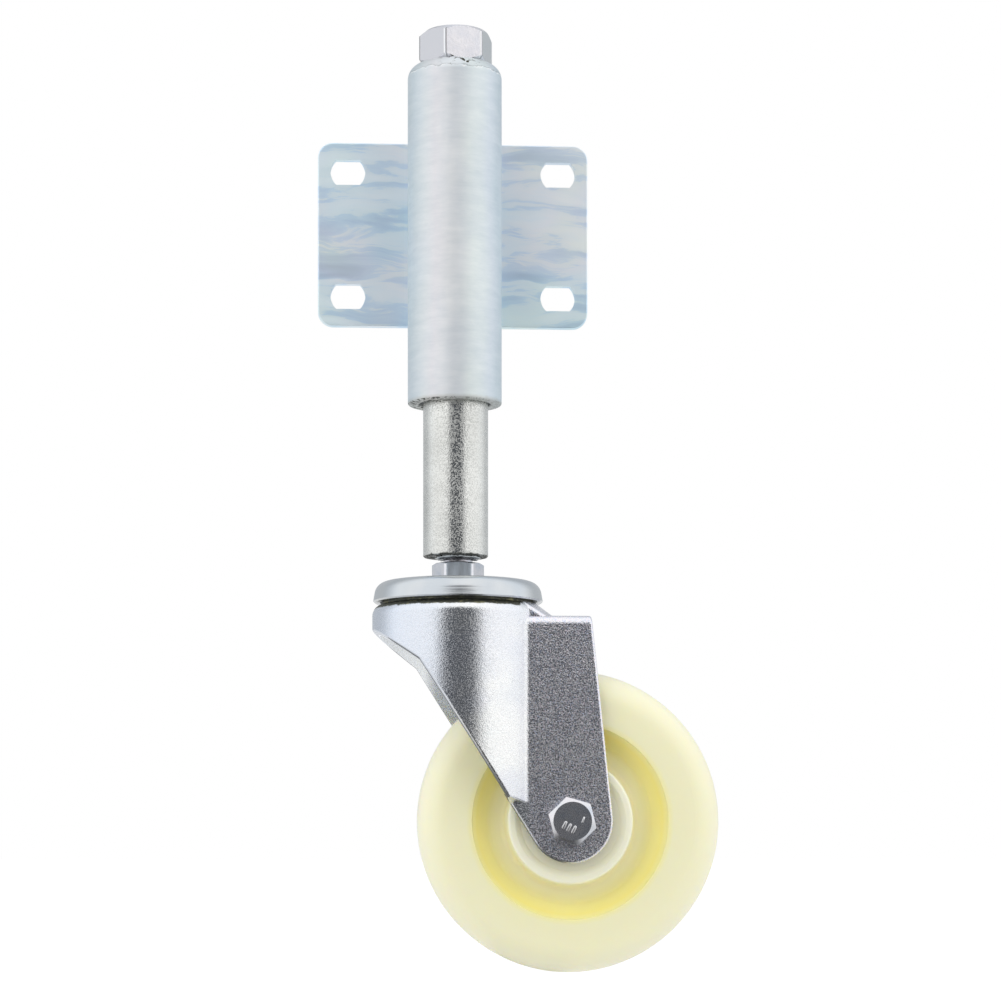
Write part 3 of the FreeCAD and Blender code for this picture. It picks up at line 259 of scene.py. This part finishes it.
def speckle_height(m, scale, big=0.35):
    """Fine orange peel: small grains with a slower wave under them."""
    grain = m.noise(scale, 1.5, 0.55)
    slow = m.noise(scale * 0.3, 2, 0.5)
    return m.math("ADD", grain, m.math("MULTIPLY", slow, big)), grain


def speckled(name, base, scale, strength, dist, rough, tone=0.10):
    """Bright plating over an orange-peel surface: fine pits that sparkle where the face reflects something dark."""
    m = Mat(name)
    h, grain = speckle_height(m, scale)
    big = m.noise(45, 2, 0.5)
    col = m.mix(m.math("MULTIPLY", big, 0.5), base, tuple(c * (1 - tone) for c in base))
    col = m.mix(m.math("MULTIPLY", m.ramp(grain, [(0.34, 1.0), (0.46, 0.0)]), 0.22), col, tuple(c * 0.6 for c in base))
    r = m.math("ADD", rough, m.math("MULTIPLY", m.math("SUBTRACT", m.noise(400, 3, 0.6), 0.5), 0.08))
    m.set(Metallic=1.0, Base_Color=col, Roughness=r, Normal=m.bump(h, strength, dist))
    return m.m


def mat_fork():
    m = Mat("zinc_fork")
    x, y, z = m.xyz()
    h, grain = speckle_height(m, 2600, 0.6)
    big = m.noise(40, 2, 0.5)
    base = m.ramp(big, [(0.32, srgb(240, 243, 244)), (0.5, srgb(249, 250, 248)), (0.7, srgb(244, 248, 246))])
    # bluish tone of the plating on the leg's face
    blue = m.ramp(m.noise(55, 2, 0.5, vector=m.map(location=(0.4, 0.2, 0.1))), [(0.45, 0.0), (0.65, 0.5)])
    base = m.mix(blue, base, srgb(224, 228, 238))
    base = m.mix(m.math("MULTIPLY", m.ramp(grain, [(0.36, 1.0), (0.48, 0.0)]), 0.20), base, srgb(160, 164, 174))
    tone = m.math("MULTIPLY", m.math("SUBTRACT", x, SWIVEL_X), 1000.0 / 60.0)
    # the left part of the fork is painted a cooler, darker grey: painted shade on that side
    base = m.mix(m.ramp(m.math("ADD", tone, 0.5), [(0.12, 1.0), (0.36, 0.75), (0.50, 0.0)]), base, srgb(218, 225, 235))
    grit = m.noise(1500, 2, 0.6, vector=m.map(location=(0.9, 0.3, 0.5)))
    onleg = m.ramp(m.math("ADD", tone, 0.5), [(0.60, 0.10), (0.86, 0.10), (0.90, 0.60)])
    base = m.mix(onleg, base, m.ramp(grit, [(0.36, srgb(200, 208, 246)), (0.5, srgb(246, 246, 244)), (0.62, srgb(246, 228, 248))]))
    nx, ny, nz = m.xyz(m.t.nodes.new("ShaderNodeTexCoord").outputs["Normal"])
    # the cut edge along the leg's front and foot is rougher than the drawn faces, and painted dark where it faces down
    # and forward: painted shade on the down-facing edge
    down = m.ramp(m.math("MULTIPLY", nz, -1.0), [(0.25, 0.0), (0.52, 1.0)])
    ahead = m.ramp(m.math("MULTIPLY", nx, -1.0), [(0.02, 0.0), (0.20, 1.0)])
    low = m.math("LESS_THAN", z, -0.1372)
    outside = m.math("GREATER_THAN", m.math("ABSOLUTE", m.math("SUBTRACT", y, SWIVEL.y)), 0.0161)
    edge = m.math("MULTIPLY", m.math("MULTIPLY", down, ahead), m.math("MULTIPLY", low, outside))
    base = m.mix(m.math("MULTIPLY", edge, 0.8), base, srgb(84, 88, 90))
    dx = m.math("SUBTRACT", x, SWIVEL_X)
    dy = m.math("SUBTRACT", y, SWIVEL.y)
    r = m.math("SQRT", m.math("ADD", m.math("MULTIPLY", dx, dx), m.math("MULTIPLY", dy, dy)))
    # a dark olive band round the top of the crown, under the cap: partly grease and dust worked out of the race, partly
    # painted shade and dark reflection from the gap under the cap; the yellowish flecks in it are painted glints
    grease_and_shade = m.ramp(m.math("ADD", m.math("MULTIPLY", z, 1000.0), m.math("ADD", 130.6, m.math("MULTIPLY", m.noise(600, 3, 0.6), 1.2))), [(0.42, 0.0), (0.75, 1.0)])
    reach = m.math("SUBTRACT", 0.0288, m.math("MULTIPLY", m.math("GREATER_THAN", x, SWIVEL_X + 0.020), 0.0018))
    grease_and_shade = m.math("MULTIPLY", grease_and_shade, m.math("LESS_THAN", r, reach))
    glint = m.ramp(m.noise(1000, 4, 0.7, 0.6, vector=m.map((0.35, 0.35, 1.3))), [(0.54, 0.0), (0.66, 1.0)])
    base = m.mix(m.math("MULTIPLY", grease_and_shade, 0.9), base, m.mix(glint, srgb(62, 64, 44), srgb(158, 154, 108)))
    # inside, the skirt of the crown is bare bright sheet, made less metallic here and given a faint glow: painted light
    # standing in for the light it picks up from below
    ahead_of = m.ramp(m.math("MULTIPLY", m.math("SUBTRACT", SWIVEL_X, x), 1000.0 / 30.0), [(0.20, 0.0), (0.36, 1.0)])
    glowing_skirt = m.math("MULTIPLY", m.math("LESS_THAN", r, 0.0267), m.math("MULTIPLY", low, ahead_of))
    frost = m.ramp(m.noise(2300, 1.0, 0.6, vector=m.map(location=(0.2, 0.6, 0.1))), [(0.40, 0.0), (0.62, 1.0)])
    rough = m.math("ADD", 0.11, m.math("MULTIPLY", frost, m.ramp(m.math("ADD", tone, 0.5), [(0.30, 0.24), (0.80, 0.24), (0.90, 0.32)])))
    rough = m.math("ADD", rough, m.math("MULTIPLY", m.math("MAXIMUM", m.math("MAXIMUM", edge, grease_and_shade), glowing_skirt), 0.35))
    # drawn faces are smooth where the sheet was stretched round the crown, grained on the flat leg
    flat = m.ramp(m.math("MULTIPLY", m.math("SUBTRACT", x, SWIVEL_X), 1000.0 / 40.0), [(0.35, 0.48), (0.56, 0.95)])
    n = m.t.nodes.new("ShaderNodeBump")
    m.put(n.inputs["Strength"], flat)
    n.inputs["Distance"].default_value = 0.000115
    m.put(n.inputs["Height"], h)
    m.set(Metallic=m.math("SUBTRACT", 1.0, m.math("MULTIPLY", glowing_skirt, 0.75)), Base_Color=base, Roughness=rough, Normal=n.outputs[0],
          Emission_Color=(0.95, 0.96, 0.97, 1.0), Emission_Strength=m.math("MULTIPLY", glowing_skirt, 0.42))
    return m.m


def mat_plunger():
    m = Mat("nickel_plunger")
    x, y, z = m.xyz()
    h, grain = speckle_height(m, 2050, 0.12)
    hoop = m.noise(900, 3, 0.6, vector=m.map((0.12, 0.12, 1)))
    base = m.ramp(m.noise(50, 2, 0.5), [(0.35, srgb(213, 214, 211)), (0.6, srgb(225, 226, 223))])
    base = m.mix(m.math("MULTIPLY", m.ramp(hoop, [(0.35, 1.0), (0.5, 0.0)]), 0.10), base, srgb(150, 150, 144))
    # a dark, ragged band round the foot, rougher there too
    jag = m.math("MULTIPLY", m.math("SUBTRACT", m.noise(260, 4, 0.65), 0.5), 0.0028)
    foot = m.math("SUBTRACT", m.math("ADD", z, jag), PLUNGER_LOW)
    ring = m.ramp(m.math("MULTIPLY", foot, 1000.0), [(0.0, 0.9), (0.30, 0.85), (0.55, 0.12), (1.0, 0.0)])
    base = m.mix(ring, base, srgb(60, 60, 54))
    frost = m.ramp(m.noise(2100, 1.0, 0.6, vector=m.map(location=(0.2, 0.6, 0.1))), [(0.42, 0.0), (0.58, 1.0)])
    rough = m.math("ADD", 0.07, m.math("MULTIPLY", frost, 0.45))
    m.set(Metallic=1.0, Base_Color=base, Roughness=m.math("ADD", rough, m.math("MULTIPLY", ring, 0.3)), Normal=m.bump(h, 1.0, 0.00008))
    return m.m


def mat_zinc_cap():
    m = Mat("zinc_cap")
    x, y, z = m.xyz()
    # faint turning lines round the swivel axis
    dx = m.math("SUBTRACT", x, SWIVEL.x)
    dy = m.math("SUBTRACT", y, SWIVEL.y)
    r = m.math("SQRT", m.math("ADD", m.math("MULTIPLY", dx, dx), m.math("MULTIPLY", dy, dy)))
    comb = m.t.nodes.new("ShaderNodeCombineXYZ")
    m.put(comb.inputs[0], r)
    m.put(comb.inputs[1], z)
    lines = m.noise(1500, 3, 0.6, vector=comb.outputs[0])
    patch = m.noise(60, 2, 0.5)
    col = m.ramp(patch, [(0.3, srgb(200, 206, 212)), (0.55, srgb(213, 216, 218)), (0.75, srgb(207, 215, 214))])
    band = m.noise(420, 4, 0.6, vector=m.map((0.12, 0.12, 1.6)))
    m.set(Metallic=1.0, Base_Color=col, Roughness=m.math("ADD", 0.17, m.math("MULTIPLY", m.noise(500, 3), 0.10)),
          Normal=m.bump(m.math("ADD", m.math("MULTIPLY", lines, 0.4), band), 0.6, 0.00009))
    return m.m


def mat_fastener(name="zinc_fastener", thread=None, hex_of=None, dull=0.0, tint=None):
    """Bright zinc; thread = (axis, low, high, pitch) draws a screw thread between two heights, its grooves painted dark
    as shade.
    hex_of names a nut whose facets carry painted light: a lighter front facet, darker side facets, and at each upright
    corner a painted dark line beside a painted highlight. tint paints the faces that look along -Y a darker, streaked
    blue-grey as a painted dark reflection."""
    m = Mat(name)
    patch = m.noise(150, 3, 0.6)
    col = m.ramp(patch, [(0.3, srgb(206, 212, 222)), (0.5, srgb(226, 226, 230)), (0.72, srgb(232, 226, 232))])
    if tint:
        # faces that look along -Y are painted a darker, streaked blue-grey: painted dark reflection
        streaks = m.noise(500, 3, 0.6, vector=m.map((1, 1, 0.2)))
        ahead = m.ramp(m.math("MULTIPLY", m.xyz(m.t.nodes.new("ShaderNodeTexCoord").outputs["Normal"])[1], -1.0), [(0.86, 0.0), (0.97, 1.0)])
        col = m.mix(m.math("MULTIPLY", ahead, 0.85), col, m.ramp(streaks, [(0.35, tuple(c * 0.66 for c in tint)), (0.65, tint)]))
        dull = m.math("MULTIPLY", ahead, dull)
    if hex_of:
        lo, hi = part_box(hex_of)
        cx, cy = (lo.x + hi.x) / 2, (lo.y + hi.y) / 2
        far = max(((v.co.x - cx) ** 2 + (v.co.y - cy) ** 2, math.atan2(v.co.y - cy, v.co.x - cx)) for v in NODES[hex_of].data.vertices)
        x, y, z = m.xyz()
        turn = m.math("ARCTAN2", m.math("SUBTRACT", y, cy), m.math("SUBTRACT", x, cx))
        turn = m.math("MULTIPLY", m.math("SUBTRACT", turn, far[1] - 4 * math.pi), 3.0 / math.pi)
        turn = m.math("FRACT", m.math("ADD", turn, m.math("MULTIPLY", m.noise(300, 2, 0.5), 0.012)))
        jaw = m.math("LESS_THAN", z, hi.z - 0.0012)
        line = m.math("MULTIPLY", m.ramp(turn, [(0.004, 0.0), (0.018, 1.0), (0.045, 0.0)]), jaw)
        shine = m.math("MULTIPLY", m.ramp(turn, [(0.94, 0.0), (0.975, 1.0), (0.995, 0.0)]), jaw)
        nx, ny, nz = m.xyz(m.t.nodes.new("ShaderNodeTexCoord").outputs["Normal"])
        left = m.ramp(m.math("MULTIPLY", nx, -1.0), [(0.30, 0.0), (0.45, 1.0)])
        right = m.ramp(nx, [(0.60, 0.0), (0.75, 1.0)])
        # painted lit and shaded facets: a lighter front facet, darker left and right facets, and at each upright corner
        # a painted dark line beside a painted highlight
        col = m.mix(0.85, col, m.ramp(m.noise(160, 3, 0.6, vector=m.map((1, 1, 1.6))), [(0.35, srgb(240, 240, 247)), (0.65, srgb(254, 251, 254))]))
        col = m.mix(m.math("MULTIPLY", left, 0.9), col, srgb(195, 196, 201))
        col = m.mix(m.math("MULTIPLY", right, 0.6), col, srgb(196, 206, 206))
        col = m.mix(m.math("MULTIPLY", line, 0.85), col, srgb(96, 98, 98))
        col = m.mix(shine, col, srgb(252, 252, 252))
    fine = m.noise(1500, 4, 0.7)
    rough = m.math("ADD", m.math("ADD", 0.13, dull), m.math("MULTIPLY", fine, 0.10))
    h = m.math("ADD", m.math("MULTIPLY", fine, 0.4), m.math("MULTIPLY", m.noise(220, 3, 0.6), 1.0))
    norm = m.bump(h, 0.35, 0.00010)
    if thread:
        axis, low, high, pitch = thread
        v = m.xyz()["XYZ".index(axis)]
        inside = m.math("MULTIPLY", m.math("GREATER_THAN", v, low), m.math("LESS_THAN", v, high))
        # the grooves are painted dark: painted shade in the thread
        saw = m.math("ABSOLUTE", m.math("SUBTRACT", m.math("FRACT", m.math("DIVIDE", v, pitch)), 0.5))
        groove = m.math("MULTIPLY", m.ramp(saw, [(0.0, 1.0), (0.24, 0.0)]), inside)
        col = m.mix(m.math("MULTIPLY", groove, 0.85), col, srgb(52, 52, 54))
        norm = m.bump(m.math("MULTIPLY", saw, inside), 1.0, 0.0005, norm)
    m.set(Metallic=1.0, Base_Color=col, Roughness=rough, Normal=norm)
    return m.m


def mat_plain_metal(name, base, rough, scale=900, strength=0.08):
    m = Mat(name)
    fine = m.noise(scale, 4, 0.7)
    patch = m.noise(90, 2, 0.5)
    col = m.mix(patch, tuple(c * 0.9 for c in base), base)
    m.set(Metallic=1.0, Base_Color=col, Roughness=m.math("ADD", rough, m.math("MULTIPLY", fine, 0.12)), Normal=m.bump(fine, strength, 0.0001))
    return m.m


def mat_nylon():
    m = Mat("nylon")
    x, y, z = m.xyz()
    dx = m.math("SUBTRACT", x, AXLE.x)
    dz = m.math("SUBTRACT", z, AXLE.z)
    r = m.math("MULTIPLY", m.math("SQRT", m.math("ADD", m.math("MULTIPLY", dx, dx), m.math("MULTIPLY", dz, dz))), 1000.0 / 60.0)
    # the cast nylon is creamier where it is thin and more yellow where the section is deep; toward the hub the rings
    # are darker, painted shade round the hub
    ring = m.ramp(r, [
        (0.10, srgb(226, 221, 190)), (0.27, srgb(236, 233, 206)), (0.345, srgb(244, 243, 220)), (0.365, srgb(246, 239, 196)),
        (0.41, srgb(249, 241, 188)), (0.46, srgb(247, 238, 160)), (0.52, srgb(245, 233, 134)), (0.548, srgb(242, 235, 166)), (0.58, srgb(240, 237, 199)),
        (0.74, srgb(243, 240, 205)), (0.86, srgb(247, 244, 218))])
    mott = m.noise(70, 3, 0.6)
    col = m.mix(m.math("MULTIPLY", mott, 0.18), ring, srgb(240, 238, 214))
    fine = m.noise(420, 4, 0.65)
    ringl = m.t.nodes.new("ShaderNodeCombineXYZ")
    m.put(ringl.inputs[0], r)
    turn = m.noise(70, 3, 0.6, vector=ringl.outputs[0])
    h = m.math("ADD", m.math("MULTIPLY", fine, 0.6), m.math("MULTIPLY", turn, 0.8))
    m.set(Base_Color=col, Roughness=m.math("ADD", 0.36, m.math("MULTIPLY", m.math("SUBTRACT", fine, 0.5), 0.16)),
          Normal=m.bump(h, 0.10, 0.0002), IOR=1.53,
          Subsurface_Weight=0.5, Subsurface_Scale=0.009, Subsurface_Radius=(1.0, 0.85, 0.45))
    return m.m


def mat_plastic(name, base, rough):
    m = Mat(name)
    fine = m.noise(700, 3)
    m.set(Base_Color=m.mix(fine, tuple(c * 0.85 for c in base), base), Roughness=rough, Normal=m.bump(fine, 0.1, 0.0001))
    return m.m


def mat_grease():
    m = Mat("grease")
    blob = m.noise(420, 3, 0.6)
    col = m.ramp(blob, [(0.35, srgb(44, 44, 24)), (0.55, srgb(96, 94, 48)), (0.7, srgb(150, 144, 84))])
    m.set(Base_Color=col, Roughness=0.18, Normal=m.bump(blob, 0.5, 0.0006), IOR=1.47)
    return m.m


MATS = {
    "zinc_plate": mat_zinc_plate(),
    "zinc_tube": mat_zinc_tube(),
    "weld": speckled("weld", srgb(196, 200, 202), 900, 0.25, 0.0003, 0.34),
    "bush_steel": mat_plain_metal("bush_steel", srgb(190, 190, 192), 0.26),
    "zinc_fastener": mat_fastener(),
    "nickel_plunger": mat_plunger(),
    "spring_steel": mat_plain_metal("spring_steel", srgb(120, 122, 128), 0.3),
    "zinc_cap": mat_zinc_cap(),
    "bearing_steel": mat_plain_metal("bearing_steel", srgb(222, 222, 224), 0.08, 1500, 0.02),
    "zinc_fork": mat_fork(),
    "shield_steel": mat_plain_metal("shield_steel", srgb(190, 192, 194), 0.24),
    "cage_polyamide": mat_plastic("cage_polyamide", srgb(44, 44, 42), 0.5),
    "nylon": mat_nylon(),
}
GREASE = mat_grease()

NODE_MATS = {
    "swivel_bolt": mat_fastener("zinc_fastener_m10", ("Z", -0.1205, -0.090, 0.0015)),
    "guide_rod": mat_fastener("zinc_fastener_m14", ("Z", 0.050, 0.064, 0.0020)),
    "axle_bolt": mat_fastener("zinc_fastener_m8", ("Y", -0.002, 0.020, 0.00125), dull=0.09),
    "top_lock_nut": mat_fastener("zinc_fastener_top_nut", hex_of="top_lock_nut", dull=0.06),
    "swivel_lock_nut": mat_fastener("zinc_fastener_swivel_nut", dull=0.30, tint=srgb(200, 210, 219)),
}

slot_of = {s["node"]: s["material_slot"] for s in frame["record"]["subparts"]}
for name, obj in NODES.items():
    mat = NODE_MATS.get(name) or MATS[slot_of[name]]
    if obj.material_slots:
        for s in obj.material_slots:
            s.material = mat
    else:
        obj.data.materials.append(mat)

# ------------------------------------------------------------------ small pieces the CAD leaves out
def piece(name, verts, faces, mat, body):
    mesh = bpy.data.meshes.new(name)
    mesh.from_pydata([tuple(v) for v in verts], [], faces)
    mesh.update()
    for p in mesh.polygons:
        p.use_smooth = True
    o = bpy.data.objects.new(name, mesh)
    scene.collection.objects.link(o)
    mesh.materials.append(mat)
    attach(o, body)
    return o


def lumpy_ring(name, centre, radius, wide, tall, amount, grain, mat, body, steps=220, around=12, seed=0.0):
    """A closed ring of uneven section about a vertical line: a smear of grease or a rough bead."""
    verts, faces = [], []
    for i in range(steps):
        a = 2 * math.pi * i / steps
        d = Vector((math.cos(a), math.sin(a), 0.0))
        for j in range(around):
            b = 2 * math.pi * j / around
            p = Vector(centre) + d * (radius + wide * math.cos(b)) + Vector((0, 0, tall * math.sin(b)))
            lump = noise.noise(p * grain + Vector((seed, 0, 0)))
            p += (d * wide * math.cos(b) + Vector((0, 0, tall * math.sin(b)))) * (amount * lump)
            verts.append(p)
            k, l = (i + 1) % steps, (j + 1) % around
            faces.append((i * around + j, k * around + j, k * around + l, i * around + l))
    return piece(name, verts, faces, mat, body)


# grease squeezed up between the balls and the raised track ring of the crown
lumpy_ring("race_grease", (SWIVEL.x, SWIVEL.y, cap_lo.z + 0.0012), 0.0245, 0.0007, 0.0010, 0.55, 420, GREASE, "plunger", seed=3.1)
# the rough bead left where the swivel bolt was welded into the plunger's foot
lumpy_ring("foot_weld", (SWIVEL.x, SWIVEL.y, PLUNGER_LOW - 0.0002), 0.0064, 0.0013, 0.0006, 0.6, 620, MATS["weld"], "plunger", seed=7.7)


def relief(name, centre, shapes, depth, mat, body):
    """Raised, rounded bars on a face that looks along -Y. shapes = (x, z, half length, half width, angle) in millimetres."""
    verts, faces = [], []
    for x, z, hl, hw, ang in shapes:
        ca, sa = math.cos(math.radians(ang)), math.sin(math.radians(ang))
        n, rings = 20, []
        for scale, rise in ((1.0, 0.0), (0.86, 0.72), (0.55, 1.0)):
            ring = []
            for i in range(n):
                t = 2 * math.pi * i / n
                u = (hl - hw) * (1 if math.cos(t) > 0 else -1) * (0 if abs(math.cos(t)) < 1e-6 else 1) + hw * scale * math.cos(t)
                w = hw * scale * math.sin(t)
                ring.append(len(verts))
                verts.append(Vector(centre) + Vector(((x + u * ca - w * sa) * MM, -rise * depth, (z + u * sa + w * ca) * MM)))
            rings.append(ring)
        for a, b in zip(rings, rings[1:]):
            for i in range(n):
                k = (i + 1) % n
                faces.append((a[i], a[k], b[k], b[i]))
        faces.append(tuple(rings[-1]))
    return piece(name, verts, faces, mat, body)


# maker's figures on the bolt head are left out; a plain row of raised bars stands in their place
bolt_lo, bolt_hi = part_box("axle_bolt")
relief("bolt_head_relief", (AXLE.x, bolt_lo.y, AXLE.z), (
    (-2.7, -1.3, 1.45, 0.52, 62), (-1.2, -2.1, 1.45, 0.52, 62), (0.4, -2.8, 1.45, 0.52, 62), (3.5, 0.4, 1.15, 0.32, 70),
), 0.00030, mat_plain_metal("relief_zinc", srgb(236, 236, 238), 0.22), "fork_body")

# the spring shortens as the plunger rises; here a copy of it, attached to the housing with its upper end under the
# guide bush, stands in for the CAD one, which is hidden
coil_mesh = NODES["compression_spring"].data.copy()
coil_mesh.transform(NODES["compression_spring"].matrix_world)
coil = bpy.data.objects.new("spring_coil", coil_mesh)
scene.collection.objects.link(coil)
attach(coil, "housing")
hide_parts("compression_spring")
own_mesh(coil)

# ------------------------------------------------------------------ floor, light and camera
floor_mesh = bpy.data.meshes.new("floor")
F = 6.0
floor_mesh.from_pydata([(-F, -F, GROUND), (F, -F, GROUND), (F, F, GROUND), (-F, F, GROUND)], [], [(0, 1, 2, 3)])
floor = bpy.data.objects.new("floor", floor_mesh)
scene.collection.objects.link(floor)
fm = Mat("floor_white")
fm.set(Base_Color=(0.9, 0.9, 0.9), Roughness=1.0)
glow = fm.t.nodes.new("ShaderNodeEmission")
glow.inputs[0].default_value = (1, 1, 1, 1)
seen = fm.t.nodes.new("ShaderNodeLightPath").outputs["Is Camera Ray"]
# bright all round for soft light, but dark in mirror images towards the camera, where the lens and its operator stand
fx, fy, fz = fm.xyz()
fx = fm.math("SUBTRACT", fx, 0.02)
fr = fm.math("SQRT", fm.math("ADD", fm.math("MULTIPLY", fx, fx), fm.math("MULTIPLY", fy, fy)))
fd = fm.math("DIVIDE", fm.math("ADD", fm.math("MULTIPLY", fx, 0.0523), fm.math("MULTIPLY", fy, -0.9986)), fm.math("MAXIMUM", fr, 0.001))
mirror = fm.t.nodes.new("ShaderNodeLightPath").outputs["Is Glossy Ray"]
shade = fm.math("MULTIPLY", fm.ramp(fm.math("MULTIPLY_ADD", fd, 0.5, 0.5), [(0.925, 0.0), (0.963, 0.90)]), mirror)
plain = fm.math("MULTIPLY", 0.85, fm.math("SUBTRACT", 1.0, shade))
fm.put(glow.inputs[1], fm.math("ADD", plain, fm.math("MULTIPLY", seen, 0.30)))
share = fm.t.nodes.new("ShaderNodeMixShader")
fm.put(share.inputs[0], fm.math("MULTIPLY", seen, 0.14))
fm.t.links.new(glow.outputs[0], share.inputs[1])
fm.t.links.new(fm.b.outputs[0], share.inputs[2])
fm.t.links.new(share.outputs[0], fm.out.inputs[0])
floor_mesh.materials.append(fm.m)

YAW = math.radians(3.1)
DARK = math.radians(1.0)
world = bpy.data.worlds.new("studio")
scene.world = world
world.use_nodes = True
wt = world.node_tree
wt.nodes.clear()
w_out = wt.nodes.new("ShaderNodeOutputWorld")
w_tc = wt.nodes.new("ShaderNodeTexCoord")
w_dot = wt.nodes.new("ShaderNodeVectorMath")
w_dot.operation = "DOT_PRODUCT"
wt.links.new(w_tc.outputs["Generated"], w_dot.inputs[0])
w_dot.inputs[1].default_value = (math.sin(DARK), -math.cos(DARK), 0.0)
w_half = wt.nodes.new("ShaderNodeMath")
w_half.operation = "MULTIPLY_ADD"
wt.links.new(w_dot.outputs["Value"], w_half.inputs[0])
w_half.inputs[1].default_value = 0.5
w_half.inputs[2].default_value = 0.5
w_ramp = wt.nodes.new("ShaderNodeValToRGB")
e = w_ramp.color_ramp.elements
while len(e) > 1:
    e.remove(e[-1])
# from straight behind the part (0) round by the sides (0.5) to the camera (1)
e[0].position, e[0].color = 0.0, (0.50, 0.52, 0.54, 1)
for pos, col in ((0.22, (0.52, 0.54, 0.56, 1)), (0.42, (0.96, 0.98, 1.0, 1)), (0.60, (1.0, 1.0, 1.0, 1)),
                 (0.925, (1.0, 1.0, 1.0, 1)), (0.963, (0.082, 0.088, 0.100, 1))):
    x_el = e.new(pos)
    x_el.color = col
wt.links.new(w_half.outputs[0], w_ramp.inputs[0])
w_dark = wt.nodes.new("ShaderNodeBackground")
wt.links.new(w_ramp.outputs[0], w_dark.inputs[0])
w_dark.inputs[1].default_value = 1.13
w_white = wt.nodes.new("ShaderNodeBackground")
w_white.inputs[0].default_value = (1, 1, 1, 1)
w_white.inputs[1].default_value = 1.0
w_path = wt.nodes.new("ShaderNodeLightPath")
w_mix = wt.nodes.new("ShaderNodeMixShader")
wt.links.new(w_path.outputs["Is Camera Ray"], w_mix.inputs[0])
wt.links.new(w_dark.outputs[0], w_mix.inputs[1])
wt.links.new(w_white.outputs[0], w_mix.inputs[2])
wt.links.new(w_mix.outputs[0], w_out.inputs[0])


def area(name, location, target, size, power, color=(1, 1, 1)):
    data = bpy.data.lights.new(name, "AREA")
    data.shape = "RECTANGLE"
    data.size, data.size_y = size
    data.energy = power
    data.color = color
    o = bpy.data.objects.new(name, data)
    o.location = location
    o.rotation_mode = "QUATERNION"
    o.rotation_quaternion = (Vector(target) - Vector(location)).to_track_quat("-Z", "Y")
    o.visible_glossy = False
    scene.collection.objects.link(o)
    return o


area("key", (-0.9, -0.7, 0.7), (0.02, 0, -0.1), (0.7, 0.9), 2.6)
area("fill", (1.0, -0.5, 0.2), (0.02, 0, -0.1), (0.6, 0.9), 1.4)

cam_data = bpy.data.cameras.new("camera")
cam = bpy.data.objects.new("camera", cam_data)
scene.collection.objects.link(cam)
scene.camera = cam
CAM_AT = Vector((TUBE_X - 0.0322, -0.900, -0.2095))
cam.location = CAM_AT
cam.rotation_mode = "QUATERNION"
look = Vector((math.sin(YAW), math.cos(YAW), 0.0))
cam.rotation_quaternion = look.to_track_quat("-Z", "Y")
cam_data.sensor_width = 36.0
cam_data.lens = 2602.3 / 1001.0 * 36.0
cam_data.clip_start, cam_data.clip_end = 0.05, 50.0
# The camera stands at the wheel's height with its lens shifted up, so that uprights stay parallel.
# The shift belongs to that place only: seen from anywhere else the lens is centred.
SHIFT = (843.2 - 500.5) / 1001.0
drv = cam_data.driver_add("shift_y").driver
drv.type = "SCRIPTED"
for axis in ("X", "Y", "Z"):
    v = drv.variables.new()
    v.name = "p" + axis.lower()
    v.type = "TRANSFORMS"
    v.targets[0].id = cam
    v.targets[0].transform_type = "LOC_" + axis
    v.targets[0].transform_space = "WORLD_SPACE"
drv.expression = "%.6f if abs(px - %.6f) + abs(py - %.6f) + abs(pz - %.6f) < 0.004 else 0.0" % (SHIFT, *CAM_AT)

scene.view_settings.view_transform = "Standard"
scene.view_settings.look = "None"
